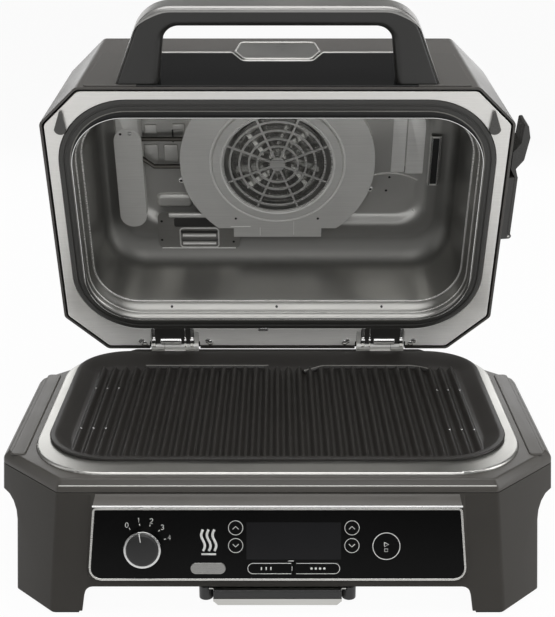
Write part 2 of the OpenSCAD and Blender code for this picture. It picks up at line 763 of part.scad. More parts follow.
module plate_ledge() translate([0, 0, plate_floor_z - rib_root]) linear_extrude(rib_h) {
    half = floor_half - ledge_in;
    back = ledge_y + ledge_d;
    left = drain_x - drain_gap / 2;
    right = drain_x + drain_gap / 2;
    polygon([[-half, ledge_y], [left, ledge_y], [left, back], [-half, back]]);
    polygon([[right + cheek, ledge_y], [half, ledge_y], [half, back], [right, back]]);
}
module grill_plate() color("#1f1d1c") at_plate() difference() {
    union() {
        skin([
            lifted(plate_ring(plate_lap + 2 * plate_run, plate_r), plate_floor_z - floor_t),
            lifted(plate_ring(plate_lap + plate_run, plate_r), ring_z),
            lifted(plate_ring(plate_flare), ring_z),
            lifted(plate_ring(0), rim_z - plate_edge),
            lifted(plate_ring(plate_edge), rim_z),
            lifted(plate_ring(lip_w), rim_z),
            lifted(floor_outline, plate_floor_z)
        ]);
        plate_ribs();
        plate_ledge();
    }
    translate([drain_x, floor_back, plate_floor_z - floor_t - past])
        cylinder(r = ledge_d / 3, h = floor_t + rib_h);
}

// Gloss control panel on the leaning face; outlines are across and up that face
function panel_outline(grow) = rounded([
    [-panel_w / 2 - grow, panel_s - grow], [panel_w / 2 + grow, panel_s - grow],
    [panel_top_w / 2 + grow, panel_s + panel_h + grow], [-panel_top_w / 2 - grow, panel_s + panel_h + grow]],
    [panel_r + grow, panel_r + grow, panel_top_r + grow, panel_top_r + grow]);
arrow_keys = [for (x = [-1, 1], y = [1, -1]) [display_x + x * key_span / 2, key_s + y * key_pitch / 2]];
module control_panel() color("#0f0f10") on_panel() linear_extrude(panel_t) difference() {
    polygon(panel_outline(0));
    translate([dial_x, dial_s]) circle(d = shaft_d + 2 * key_gap);
    for (k = arrow_keys) translate(k) circle(d = key_d + 2 * key_gap);
    translate([start_x, start_s]) circle(d = start_d + 2 * key_gap);
    translate([display_x, display_s]) square([display_w, display_h], center = true);
    translate([display_x, mode_s]) pill(mode_w + 2 * key_gap, mode_h + 2 * key_gap);
    translate([smoke_key_x, mode_s]) pill(smoke_key_w + 2 * key_gap, mode_h + 2 * key_gap);
}

// Silver frame round the panel
module panel_bezel() color("#c9c8c4") on_panel() linear_extrude(panel_t + bezel_rise) difference() {
    polygon(panel_outline(bezel_w));
    polygon(panel_outline(pin_gap));
}

// Smoked window flush in the panel
module display_window() color("#23211f") on_panel() translate([display_x, display_s, 0])
    linear_extrude(panel_t) square([display_w - 2 * pin_gap, display_h - 2 * pin_gap], center = true);

// Keys: a cap through the panel on a flange that stays behind it
key_flange = 0.9;
flange_t = 1.2;
key_foot = -key_gap - flange_t;
module key_solid() {
    translate([0, 0, key_foot]) linear_extrude(flange_t) children(1);
    translate([0, 0, key_foot]) linear_extrude(panel_t + key_rise - key_foot) children(0);
}
module round_key(at, d) translate(at) key_solid() {
    circle(d = d);
    circle(d = d + 2 * key_flange);
}
module start_key() color("#161617") on_panel() round_key([start_x, start_s], start_d);
module left_up_key() color("#161617") on_panel() round_key(arrow_keys[0], key_d);
module left_down_key() color("#161617") on_panel() round_key(arrow_keys[1], key_d);
module right_up_key() color("#161617") on_panel() round_key(arrow_keys[2], key_d);
module right_down_key() color("#161617") on_panel() round_key(arrow_keys[3], key_d);
module smoke_key() color("#bdbcb8") on_panel() translate([smoke_key_x, mode_s]) key_solid() {
    pill(smoke_key_w, mode_h);
    pill(smoke_key_w + 2 * key_flange, mode_h + 2 * key_flange);
}
// Half of the pair of mode keys, on the given side
module half_pill(side, grow) intersection() {
    pill(mode_w + 2 * grow, mode_h + 2 * grow);
    translate([side * (mode_w / 2 + grow + key_gap), 0])
        square([mode_w + 2 * grow, 2 * mode_h], center = true);
}
module mode_key(side) on_panel() translate([display_x, mode_s]) key_solid() {
    half_pill(side, 0);
    half_pill(side, key_flange);
}
module mode_left_key() color("#161617") mode_key(-1);
module mode_right_key() color("#161617") mode_key(1);

// Circuit board on posts behind the panel, with key switches, dial encoder and display module
board_t = 1.6;
board_x = -12;
board_w = window_w - 32;
board_h = window_h - 10;
post_r = 3;
switch_w = 6;
switch_gap = 0.2;
switch_top = key_foot - key_travel - switch_gap;
switches = concat(arrow_keys, [[start_x, start_s], [smoke_key_x, mode_s],
    [display_x - mode_w / 4, mode_s], [display_x + mode_w / 4, mode_s]]);
encoder_r = 7;
encoder_gap = 2;
screen_in = 4;
module control_board() color("#1f4a34") on_panel() translate([0, 0, -board_depth - board_t]) difference() {
    root = board_t / 2;
    rise = board_depth + root;
    union() {
        translate([board_x - board_w / 2, panel_mid_s - board_h / 2, 0]) cube([board_w, board_h, board_t]);
        for (x = [-1, 1], y = [-1, 1])
            translate([board_x + x * (board_w / 2 - post_r), panel_mid_s + y * (board_h / 2 - post_r), 0])
                cylinder(r = post_r, h = board_depth + board_t);
        for (k = switches) translate([k.x - switch_w / 2, k.y - switch_w / 2, root])
            cube([switch_w, switch_w, rise + switch_top]);
        translate([dial_x, dial_s, root]) cylinder(r = encoder_r, h = rise - encoder_gap);
        translate([display_x - display_w / 2 + screen_in, display_s - display_h / 2 + screen_in, root])
            cube([display_w - 2 * screen_in, display_h - 2 * screen_in, rise - pin_gap]);
    }
    translate([dial_x, dial_s, -past]) cylinder(d = shaft_d + 2 * pin_gap, h = board_depth + board_t);
}

// Dial on its shaft, with a bright ring round it
ring_band = 2.6;
ring_drop = 3;
dial_gap = 0.6;
dial_round = 2;
dial_foot = panel_t + dial_gap;
module dial() color("#2b2b2d") on_panel() translate([dial_x, dial_s, 0]) {
    r = dial_d / 2 - ring_band - pin_gap;
    top = dial_h - dial_foot;
    translate([0, 0, dial_foot]) rotate_extrude() polygon(concat(
        [[0, 0], [r, 0]], arc([r - dial_round, top - dial_round], dial_round, 0, 90), [[0, top]]));
    translate([0, 0, -board_depth - board_t])
        cylinder(d = shaft_d, h = board_depth + board_t + dial_foot + past);
}
module dial_ring() color("#d5d4d0") on_panel() translate([dial_x, dial_s, dial_foot]) difference() {
    cylinder(d = dial_d, h = dial_h - dial_foot - ring_drop);
    translate([0, 0, -past]) cylinder(d = dial_d - 2 * ring_band, h = dial_h + 2 * past);
}

// Runners under the pan and the grease tray that slides out of them to the front
rail_in = tray_w / 2 + tray_gap;
rail_over = 12;
rail_d = tray_d + rail_over;
rail_y = 6;
rail_drop = 14;
rail_z = tray_z + tray_h - rail_drop;
pull_d = 4;
pull_h = 6;
pull_drop = 1.5;
pull_bevel = 5;
groove_z = tray_z + tray_h - tray_t - tray_gap;
module tray_runners() color("#191919") stand() for (side = [0, 1]) mirror([side, 0, 0]) difference() {
    union() {
        translate([rail_in, rail_y + runner_w / 2, rail_z]) cube([runner_w, rail_d, pan_z - rail_z]);
        translate([rail_in + runner_w / 2, rail_y + runner_w / 2, rail_z])
            cylinder(d = runner_w, h = arch_z - fit_gap - rail_z);
    }
    translate([rail_in - past, rail_y - past, groove_z])
        cube([flange_w + past, rail_d - 2 * past, tray_t + 2 * tray_gap]);
}
module grease_tray() color("#a8a6a0") stand() translate([0, rail_y, tray_z]) {
    difference() {
        translate([-tray_w / 2, 0, 0]) cube([tray_w, tray_d, tray_h]);
        translate([-tray_w / 2 + tray_t, tray_t, tray_t])
            cube([tray_w - 2 * tray_t, tray_d - 2 * tray_t, tray_h]);
    }
    for (side = [0, 1]) mirror([side, 0, 0]) translate([tray_w / 2 - tray_t, tray_t, tray_h - tray_t])
        cube([tray_t + flange_w - tray_gap, tray_d - tray_t, tray_t]);
    rotate([90, 0, 0]) linear_extrude(pull_d) polygon([
        [pull_bevel - tray_w / 2, -pull_drop], [tray_w / 2 - pull_bevel, -pull_drop],
        [tray_w / 2, pull_bevel - pull_drop], [tray_w / 2, pull_h], [-tray_w / 2, pull_h],
        [-tray_w / 2, pull_bevel - pull_drop]]);
}

// Black front of the tray, above its steel pull
module tray_front() color("#151515") stand() translate([0, rail_y, tray_z + pull_h]) rotate([90, 0, 0])
    linear_extrude(pull_d) translate([-tray_w / 2, 0]) square([tray_w, tray_h - pull_h]);

// Outline of the lid at height v above the rim
function lid_back(v) = v <= bulge_v
    ? lid_rear + lid_bulge * v / bulge_v
    : lid_rear + lid_bulge - lid_bulge / 2 * (v - bulge_v) / (lid_h - bulge_v);
function lid_rear_cut(v) = v <= bulge_v
    ? lid_cut_rear + (bulge_cut - lid_cut_rear) * v / bulge_v
    : bulge_cut + (lid_cut_rear - bulge_cut) * (v - bulge_v) / (lid_h - bulge_v);
function lid_eight(v) = [
    lid_w / 2 - lid_draft * v / lid_h, front_draft * v / lid_h - lid_front,
    lid_back(v), lid_cut, lid_rear_cut(v)
];
function lid_ring(v, inset, z) = lifted(rounded(eight(eight_in(lid_eight(v), inset)), [lid_edge_r]), z);

// Room for the hinges in the lid's back edge, and for their leaves in the frame
notch_d = 8;
notch_h = 14;
notch_side = 2;
notch_w = hinge_w + 2 * notch_side;
module hinge_notches() both_sides(hinge_x) translate([-notch_w / 2, -notch_d, -past])
    cube([notch_w, notch_d + lid_rear + lid_bulge, notch_h + past]);
module leaf_notches() both_sides(hinge_x) translate([-hinge_w / 2 - fit_gap, -leaf_len - fit_gap, -past])
    cube([hinge_w + 2 * fit_gap, leaf_len, trim_t + 2 * past]);

// Outer shell of the lid, with cooling slots behind the fan motor
slot_n = 7;
slot_pitch = 14;
slot_w = 5;
slot_h = 34;
module lid_shell() color("#403e3b") on_lid() difference() {
    skin([
        lid_ring(lid_h, crown_w + shell_t / 2, lid_roof - shell_t),
        lid_ring(lid_h, shell_t, lid_h - shell_t / 2),
        lid_ring(bulge_v, shell_t, bulge_v),
        lid_ring(0, shell_t, 0),
        lid_ring(0, 0, 0),
        lid_ring(bulge_v, 0, bulge_v),
        lid_ring(lid_h, 0, lid_h),
        lid_ring(lid_h, crown_w, lid_roof)
    ]);
    hinge_notches();
    for (i = [0:slot_n - 1])
        translate([(i - (slot_n - 1) / 2) * slot_pitch, lid_rear + lid_bulge / 2, lid_h - slot_h])
            cube([slot_w, lid_bulge + 4 * shell_t, slot_h], center = true);
}

// Satin frame that closes the rim between the shell and the gasket
module lid_trim_frame() color("#c4c3bf") on_lid() difference() {
    linear_extrude(trim_t) difference() {
        polygon(rounded(eight(eight_in(lid_eight(0), trim_in)), [lid_edge_r]));
        out = gasket_out + fit_gap;
        translate([0, -mouth_mid]) round_rect(mouth_w + 2 * out, mouth_d + 2 * out, mouth_r + gasket_out);
    }
    hinge_notches();
    leaf_notches();
}

// Silicone gasket with rounded edges and a groove, between the frame and the liner's mouth
bead_r = 1;
groove_w = 2.5;
groove_d = 1.2;
bead_n = 3;
module lid_gasket() color("#33332f") on_mouth()
    round_frame(mouth_w + 2 * gasket_in, mouth_d + 2 * gasket_in, mouth_r + gasket_in) {
        from = (gasket_w - groove_w) / 2;
        to = (gasket_w + groove_w) / 2;
        polygon(concat(
            arc([bead_r, bead_r - gasket_drop], bead_r, 180, 270, bead_n),
            [[from, -gasket_drop], [from, groove_d - gasket_drop]],
            [[to, groove_d - gasket_drop], [to, -gasket_drop]],
            arc([gasket_w - bead_r, bead_r - gasket_drop], bead_r, 270, 360, bead_n),
            [[gasket_w, trim_t], [0, trim_t]]));
    }

// Stainless liner: stepped mouth, drafted walls, a back wall that curves over, and a rounded roof
step_v = 8;
step_in = 1.5;
step_run = 2;
liner_foot = 2 * step_in + step_run / 4;
cove_n = 3;
roof_n = 5;
// Its stations are [height, inset, lean of the sheet]
function liner_draft_at(v) = liner_foot + (liner_draft - liner_foot) * v / (liner_h - liner_r);
liner_side = concat(
    [[0, 0, 0], [step_v, 0, 0], [step_v + step_run, step_in, 0]],
    [[3 * step_v - step_run, liner_foot - step_in, 0], [3 * step_v, liner_foot, 0]],
    [for (k = [0:cove_n - 1]) let (v = cove_v + (liner_h - liner_r - cove_v) * k / cove_n)
        [v, liner_draft_at(v), 0]],
    [for (k = [0:roof_n]) let (a = 90 * k / roof_n)
        [liner_h - liner_r + liner_r * sin(a), liner_draft + liner_r * (1 - cos(a)), a]]);
function cove_in(v) = v <= cove_v ? 0
    : (cove_w - liner_r) * (1 - sqrt(max(0, 1 - pow((v - cove_v) / (liner_h - cove_v), 2))));
function liner_ring(s, out) =
    let (inset = s[1] - out * cos(s[2]), half = mouth_x - inset, front = inset - mouth_d / 2)
    let (back = mouth_d / 2 - inset - cove_in(s[0]))
    lifted(rounded([[-half, front], [half, front], [half, back], [-half, back]], [mouth_r - inset], wide_n),
        s[0] + out * sin(s[2]));
liner_last = len(liner_side) - 1;
shaft_room = 2;
// The liner's flange lies on the frame, clear of the shell at both its faces
flange_foot = lid_eight(trim_t);
flange_top = lid_eight(trim_t + liner_t);
flange_eight = [flange_top[0], flange_top[1], flange_foot[2], flange_top[3], flange_foot[4]];
module lid_liner() color("#a3a19b") on_mouth() difference() {
    union() {
        skin(concat(
            [for (i = [liner_last:-1:0]) liner_ring(liner_side[i], 0)],
            [for (i = [0:liner_last]) liner_ring(liner_side[i], liner_t)]));
        translate([0, mouth_mid, trim_t]) linear_extrude(liner_t) difference() {
            polygon(rounded(eight(eight_in(flange_eight, shell_t + fit_gap)), [lid_edge_r]));
            translate([0, -mouth_mid]) round_rect(mouth_w + liner_t, mouth_d + liner_t, mouth_r);
        }
    }
    translate([0, mouth_mid, 0]) hinge_notches();
    translate([0, mouth_mid - fan_u, liner_h - past])
        cylinder(d = fan_shaft_d + 2 * shaft_room, h = liner_t + 2 * past);
}

// Fan shroud: a pan cut flat at both ends, with a raised ring round the fan's opening and a fixing tab
shroud_gap = 3;
shroud_front = mouth_front - liner_draft - liner_r - fan_u - shroud_gap;
module shroud_outline(inset) intersection() {
    circle(shroud_r - inset);
    polygon([
        [-shroud_r, inset - shroud_front], [shroud_r, inset - shroud_front],
        [shroud_r, shroud_flat / 4 - inset], [tab_w / 2, shroud_flat - inset],
        [-tab_w / 2, shroud_flat - inset], [-shroud_r, shroud_flat / 4 - inset]]);
}
module shroud_face() intersection() {
    circle(shroud_r);
    translate([-shroud_r, -shroud_front]) square([2 * shroud_r, shroud_front + shroud_flat]);
}
heater_slot = tube_d + 2 * fit_gap;
module fan_shroud() color("#b4b2ac") at_fan() {
    difference() {
        union() {
            translate([0, 0, shroud_v]) linear_extrude(shroud_h) shroud_outline(0);
            translate([0, 0, shroud_v]) linear_extrude(sheet_t) shroud_face();
        }
        translate([0, 0, shroud_v + sheet_t]) linear_extrude(shroud_h) shroud_outline(sheet_t);
        translate([0, 0, shroud_v - past]) cylinder(r = raised_r - sheet_t, h = sheet_t + 2 * past);
        for (y = [-heater_front, heater_rear]) translate([-shroud_r, y, heater_v])
            cube([shroud_r / 2, heater_slot, heater_slot], center = true);
    }
    rotate_extrude() polygon([
        [fan_r, shroud_v - raised_h], [raised_r - raised_h / 2, shroud_v - raised_h], [raised_r, shroud_v],
        [raised_r, shroud_v + sheet_t], [raised_r - sheet_t, shroud_v + sheet_t],
        [raised_r - raised_h / 2 - sheet_t, guard_v], [fan_r, guard_v]]);
    translate([-tab_w / 2, shroud_flat - sheet_t, shroud_v]) cube([tab_w, tab_reach + sheet_t, sheet_t]);
}

// Stamped fan guard: rings and spokes behind the shroud's opening
guard_rings = [0.37, 0.52, 0.69, 0.865];
guard_lap = 4;
module guard_band(r) difference() {
    circle(r + guard_w / 2);
    circle(r - guard_w / 2);
}
module fan_guard() color("#c9c8c3") at_fan() translate([0, 0, guard_v]) linear_extrude(guard_t) {
    circle(hub_r);
    for (k = guard_rings) guard_band(k * fan_r);
    difference() {
        circle(fan_r + guard_lap);
        circle(fan_r - guard_lap / 2);
    }
    for (i = [0:spokes - 1]) rotate(360 * (i + 0.5) / spokes) translate([hub_r / 2, -guard_w / 2])
        square([fan_r - hub_r / 2, guard_w]);
}

// Fan wheel on its shaft
wheel_hub = 12;
blade_in = 10;
blade_out = 6;
blade_turn = 24;
module fan_wheel() color("#8d8b86") at_fan() {
    translate([0, 0, wheel_v + blade_h]) cylinder(r = wheel_r, h = wheel_t);
    translate([0, 0, wheel_v]) cylinder(r = wheel_hub, h = blade_h + wheel_t);
    translate([0, 0, wheel_v]) linear_extrude(blade_h + wheel_t / 2)
        for (i = [0:blades - 1]) rotate(360 * i / blades)
            translate([wheel_hub + blade_in, 0]) rotate(blade_turn) translate([0, -wheel_t / 2])
                square([wheel_r - wheel_hub - blade_in - blade_out, wheel_t]);
    translate([0, 0, wheel_v]) cylinder(d = fan_shaft_d, h = liner_h - wheel_v + motor_h / 2);
}

// Fan motor on the liner's roof
motor_flange = 8;
motor_flange_t = 2;
module fan_motor() color("#5a5854") at_fan() translate([0, 0, liner_h + liner_t]) difference() {
    union() {
        cylinder(r = motor_r, h = motor_h);
        cylinder(r = motor_r + motor_flange, h = motor_flange_t);
    }
    translate([0, 0, -past]) cylinder(d = fan_shaft_d + 2 * pin_gap, h = 2 * motor_h / 3 + past);
}

// Lid heater: a ring round the fan with two ends that run to the terminal cover
heater_a = acos(heater_front / heater_r);
heater_b = acos(heater_rear / heater_r);
heater_n = 30;
lead_in = 4;
lead_drop = 14;
heater_reach = mouth_x - heater_in;
heater_bend_x = heater_reach - lead_drop;
heater_path = concat(
    [[-heater_reach - lead_in, -heater_front]],
    arc([0, 0], heater_r, -90 - heater_a, 90 + heater_b, heater_n),
    [[-heater_bend_x, heater_rear], [-heater_reach - lead_in, heater_rear - lead_drop]]);
module top_heater() color("#5b5048") at_fan() bent_tube(heater_path, tube_d, heater_v);

// Terminal cover that takes the heater's ends
cover_w = 36;
cover_len = 150;
cover_y = 24;
cover_air = 1;
cover_h = shroud_h - cover_air;
lead_room = 4;
module terminal_cover() color("#96948e") at_fan()
    translate([-heater_reach - cover_w / 2, cover_y, liner_h - cover_h]) difference() {
        linear_extrude(cover_h) rotate(90) pill(cover_len, cover_w);
        for (y = [-heater_front, heater_rear - lead_drop])
            translate([cover_w / 2, y - cover_y, cover_h - liner_h + heater_v])
                cube([2 * cover_w / 3, tube_d + lead_room, heater_slot], center = true);
    }

// Louvred vent plate between the shroud and the liner's back wall, with a flange up to the roof
vent_w = 112;
vent_d = 58;
vent_gap = 14;
vent_x = vent_gap + vent_w / 2 - heater_reach;
vent_u = 112;
vent_v = shroud_v + shroud_h / 3;
vent_r = 8;
louvre_w = 52;
louvre_h = 5;
louvre_y = [2, 15];
module vent_plate() color("#8c8a85") on_lid() difference() {
    translate([vent_x, -vent_u, 0]) union() {
        translate([0, 0, vent_v]) linear_extrude(sheet_t) difference() {
            round_rect(vent_w, vent_d, vent_r);
            for (y = louvre_y) translate([0, y]) pill(louvre_w, louvre_h);
        }
        translate([-vent_w / 2, vent_r - vent_d / 2, vent_v]) cube([sheet_t, vent_d / 3, liner_h - vent_v]);
    }
    translate([0, -fan_u, shroud_v]) linear_extrude(shroud_h + past) shroud_outline(-fit_gap);
}

// Channel that carries smoke in from the side box
baffle_w = 14;
baffle_d = 74;
baffle_h = 14;
baffle_in = 42;
baffle_x = mouth_x - baffle_in;
baffle_u = 222;
module smoke_baffle() color("#a5a39d") on_lid() translate([baffle_x - baffle_w / 2, -baffle_u, liner_h])
    rotate([90, 0, 0]) linear_extrude(baffle_d, center = true) difference() {
        translate([0, -baffle_h]) square([baffle_w, baffle_h]);
        translate([sheet_t, -baffle_h + sheet_t]) square([baffle_w, baffle_h - 2 * sheet_t]);
    }

// Gloss panel on the front of the lid, cut away round the badge
gloss_v = 2;
gloss_r = 3;
badge_cut = 14;
badge_r = 4;
badge_waist = badge_v + 0.45 * badge_h;
function badge_outline(grow) = rounded([
    [badge_cut - badge_w / 2, badge_v - grow], [badge_w / 2 - badge_cut, badge_v - grow],
    [badge_w / 2 + grow, badge_waist], [badge_w / 2 - badge_cut / 2, badge_v + badge_h + grow],
    [badge_cut / 2 - badge_w / 2, badge_v + badge_h + grow], [-badge_w / 2 - grow, badge_waist]], [badge_r]);
module lid_front_panel() color("#131314") on_lid_face() linear_extrude(gloss_t) difference() {
    half = lid_w / 2 - lid_cut - lid_edge_r;
    draft = lid_draft * gloss_h / lid_h;
    polygon(rounded(
        [[-half, gloss_v], [half, gloss_v], [half - draft, gloss_h], [draft - half, gloss_h]], [gloss_r]));
    polygon(badge_outline(fit_gap));
}

// Bare badge plate
module badge_plate() color("#9b9a96") on_lid_face() linear_extrude(badge_t) polygon(badge_outline(0));

// Handle: an arch with splayed legs on the front panel; outlines are across and out of the panel
function handle_outer(grow) = rounded([
    [-handle_w / 2 - grow, 0], [handle_w / 2 + grow, 0],
    [handle_top_w / 2 + grow, handle_reach + grow], [-handle_top_w / 2 - grow, handle_reach + grow]],
    [sharp, sharp, bend_r + grow, bend_r + grow], wide_n);
function handle_inner() = rounded([
    [-handle_in_w / 2, -past], [handle_in_w / 2, -past],
    [handle_top_in_w / 2, handle_reach - bar_t], [-handle_top_in_w / 2, handle_reach - bar_t]],
    [sharp, sharp, bend_in_r, bend_in_r], wide_n);
module on_handle() on_lid_face() translate([0, handle_v + bar_d, gloss_t]) rotate([90, 0, 0]) children();
module handle() color("#2a2927") on_handle() linear_extrude(bar_d) difference() {
    polygon(handle_outer(0));
    polygon(handle_inner());
}

// Metal strip over the handle's outside
module handle_strip() color("#a9a8a3") on_handle() translate([0, 0, strip_in])
    linear_extrude(bar_d - 2 * strip_in) difference() {
        polygon(handle_outer(strip_t));
        polygon(handle_outer(0));
        translate([-handle_w, -past]) square([2 * handle_w, strip_t + past]);
    }

// Rubber bumpers on the frame's front corners, shaped like drops
bumper_r = 7.5;
bumper_tip = 2.5;
bumper_len = 20;
bumper_turn = 7;
bumper_x = lid_w / 2 - 25;
bumper_u = lid_front - 53;
bumper_h = hinge_z - ring_z - fit_gap;
bumper_n = 10;
module bumpers() color("#2c2b29") on_lid() for (side = [0, 1]) mirror([side, 0, 0])
    translate([bumper_x, -bumper_u, -bumper_h]) rotate(-bumper_turn) linear_extrude(bumper_h) {
        lean = asin((bumper_r - bumper_tip) / bumper_len);
        polygon(concat(
            arc([0, 0], bumper_r, lean, 180 - lean, bumper_n),
            arc([0, -bumper_len], bumper_tip, 180 - lean, 360 + lean)));
    }

// Hinges: a middle knuckle on the deck, two outer ones on the lid, and a pin
module knuckle(w) rotate([0, 90, 0]) cylinder(r = knuckle_r, h = w, center = true);
module pin_bore() rotate([0, 90, 0]) cylinder(d = pin_d + 2 * pin_gap, h = hinge_w + 2 * past, center = true);
base_leaf_back = 10;
base_leaf_front = 6;
web_t = 7;
module hinge_base_leaves() color("#b0aea8") on_hinge() both_sides(hinge_x) difference() {
    union() {
        translate([-hinge_w / 2, -base_leaf_front, deck_z - hinge_z])
            cube([hinge_w, base_leaf_front + base_leaf_back, leaf_t]);
        translate([-knuckle_w / 2, -web_t / 2, deck_z - hinge_z])
            cube([knuckle_w, web_t, hinge_z - deck_z]);
        knuckle(knuckle_w);
    }
    pin_bore();
}
outer_w = (hinge_w - knuckle_w) / 2 - knuckle_gap;
module hinge_lid_leaves() color("#b8b6b0") on_lid() both_sides(hinge_x) difference() {
    union() {
        translate([-hinge_w / 2, -leaf_len, 0]) cube([hinge_w, leaf_len - notch_d + past, trim_t]);
        for (x = [-1, 1]) translate([x * (hinge_w - outer_w) / 2, 0, 0]) {
            knuckle(outer_w);
            translate([-outer_w / 2, -notch_d, 0]) cube([outer_w, notch_d, trim_t]);
        }
    }
    pin_bore();
}
module hinge_pins() color("#d0cfcb") on_hinge() both_sides(hinge_x) rotate([0, 90, 0])
    cylinder(d = pin_d, h = hinge_w, center = true);

// Domed screws in the frame beside the hinges
screw_r = 4;
screw_h = 2;
dome_r = 1.6 * screw_r;
screw_x = 45;
screw_u = 9.5;
module hinge_screws() color("#c6c5c1") on_lid() both_sides(hinge_x) both_sides(screw_x)
    translate([0, -screw_u, 0]) mirror([0, 0, 1]) intersection() {
        cylinder(r = screw_r, h = screw_h);
        translate([0, 0, screw_h - dome_r]) sphere(r = dome_r);
    }

// Smoke box on the lid's right side: x out of the wall, y towards the hinge, z up the wall
box_back_y = box_len - box_front;
cover_pin_x = box_out + cover_gap + cover_t / 2;
cover_pin_y = box_back_y + cover_knuckle_r + cover_gap;
lug_w = 12;
module cover_bore() translate([cover_pin_x, cover_pin_y, box_v - past])
    cylinder(d = cover_pin_d + 2 * pin_gap, h = box_h + 2 * past);
module smoke_box_housing() color("#1b1b1b") on_lid_side() difference() {
    union() {
        difference() {
            translate([0, -box_front, box_v]) cube([box_out, box_len, box_h]);
            translate([box_t, box_t - box_front, box_v + box_t])
                cube([box_out, box_len - 2 * box_t, box_h - 2 * box_t]);
        }
        for (z = [box_v, box_v + box_h - lug_w]) translate([0, 0, z]) {
            translate([0, box_back_y - past, 0]) cube([box_out, cover_gap + 2 * past, lug_w]);
            translate([0, box_back_y + cover_gap, 0]) cube([cover_pin_x, 2 * cover_knuckle_r, lug_w]);
            translate([cover_pin_x, cover_pin_y, 0]) cylinder(r = cover_knuckle_r, h = lug_w);
        }
    }
    cover_bore();
}
basket_gap = 0.4;
module pellet_box() color("#8f8d88") on_lid_side() {
    gap = box_t + basket_gap;
    difference() {
        translate([box_t, gap - box_front, box_v + gap])
            cube([box_out - box_t - fit_gap, box_len - 2 * gap, box_h - 2 * gap]);
        translate([box_t + sheet_t, gap + sheet_t - box_front, box_v + gap + sheet_t])
            cube([box_out, box_len - 2 * gap - 2 * sheet_t, box_h - 2 * gap - 2 * sheet_t]);
    }
}
lever_foot = box_out + cover_gap;
lever_root = 12;
lever_tip = 5;
lever_r = 2;
lever_side = lever_foot + cover_t;
module smoke_box_cover() color("#161616") on_lid_side() difference() {
    union() {
        translate([lever_foot, -box_front, box_v]) cube([cover_t, box_len, box_h]);
        translate([0, 0, box_v + lug_w + knuckle_gap]) {
            barrel_h = box_h - 2 * lug_w - 2 * knuckle_gap;
            translate([cover_pin_x, cover_pin_y, 0]) cylinder(r = cover_knuckle_r, h = barrel_h);
            translate([lever_foot, box_back_y - past, 0])
                cube([cover_t, cover_knuckle_r + cover_gap + past, barrel_h]);
        }
        translate([0, -box_front, box_v]) linear_extrude(lever_h) polygon(rounded([
            [lever_side, past], [lever_foot, past], [lever_foot, -cover_gap], [lever_in, -lever_root],
            [lever_in, -lever_len / 2], [lever_in + lever_t, -lever_len + 2 * lever_root],
            [lever_side, -lever_len], [lever_side + lever_tip, -lever_len],
            [lever_side + lever_out, -lever_len + lever_root + lever_tip],
            [lever_side + lever_tip, -2 * lever_root], [lever_foot, -lever_root]],
            [sharp, sharp, sharp, lever_r, lever_r, lever_r, lever_r, lever_r, lever_r, lever_r, lever_r]));
    }
    cover_bore();
}
module cover_pin() color("#b5b4b0") on_lid_side() translate([cover_pin_x, cover_pin_y, box_v])
    cylinder(d = cover_pin_d, h = box_h);

base_housing();
deck_cover();
bottom_pan();
foot_pads();
cord_gland();
inner_pot();
base_heater();
trim_ring();
grill_plate();
control_panel();
panel_bezel();
display_window();
control_board();
start_key();
left_up_key();
left_down_key();
right_up_key();
right_down_key();
smoke_key();
mode_left_key();
mode_right_key();
dial();
dial_ring();
tray_runners();
grease_tray();
tray_front();
lid_shell();
lid_trim_frame();
lid_gasket();
lid_liner();
fan_shroud();
fan_guard();
fan_wheel();
fan_motor();
top_heater();
terminal_cover();
vent_plate();
smoke_baffle();
lid_front_panel();
badge_plate();
handle();
handle_strip();
bumpers();
hinge_base_leaves();
hinge_lid_leaves();
hinge_pins();
hinge_screws();
smoke_box_housing();
pellet_box();
smoke_box_cover();
cover_pin();
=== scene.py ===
import bpy
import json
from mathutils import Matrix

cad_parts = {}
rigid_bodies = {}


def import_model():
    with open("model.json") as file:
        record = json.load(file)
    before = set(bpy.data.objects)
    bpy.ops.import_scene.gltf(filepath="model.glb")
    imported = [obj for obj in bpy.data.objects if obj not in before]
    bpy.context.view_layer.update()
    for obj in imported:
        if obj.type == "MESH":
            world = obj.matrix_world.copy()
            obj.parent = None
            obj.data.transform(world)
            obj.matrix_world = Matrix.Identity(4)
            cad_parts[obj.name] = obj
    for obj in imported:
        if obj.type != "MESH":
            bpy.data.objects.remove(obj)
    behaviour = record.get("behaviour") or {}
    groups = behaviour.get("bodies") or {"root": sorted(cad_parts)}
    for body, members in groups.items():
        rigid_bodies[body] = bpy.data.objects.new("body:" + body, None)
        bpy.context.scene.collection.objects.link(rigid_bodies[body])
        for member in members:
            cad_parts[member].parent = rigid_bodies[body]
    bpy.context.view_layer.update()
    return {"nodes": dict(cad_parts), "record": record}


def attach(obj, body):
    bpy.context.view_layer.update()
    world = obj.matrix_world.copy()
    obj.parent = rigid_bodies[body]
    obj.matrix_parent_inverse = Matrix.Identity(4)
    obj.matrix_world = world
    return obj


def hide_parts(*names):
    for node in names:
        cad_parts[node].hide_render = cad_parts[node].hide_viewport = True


for leftover in list(bpy.data.objects):
    bpy.data.objects.remove(leftover)
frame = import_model()

import json
import math
import numpy as np
from mathutils import Vector

NODES = frame["nodes"]
MM = 0.001

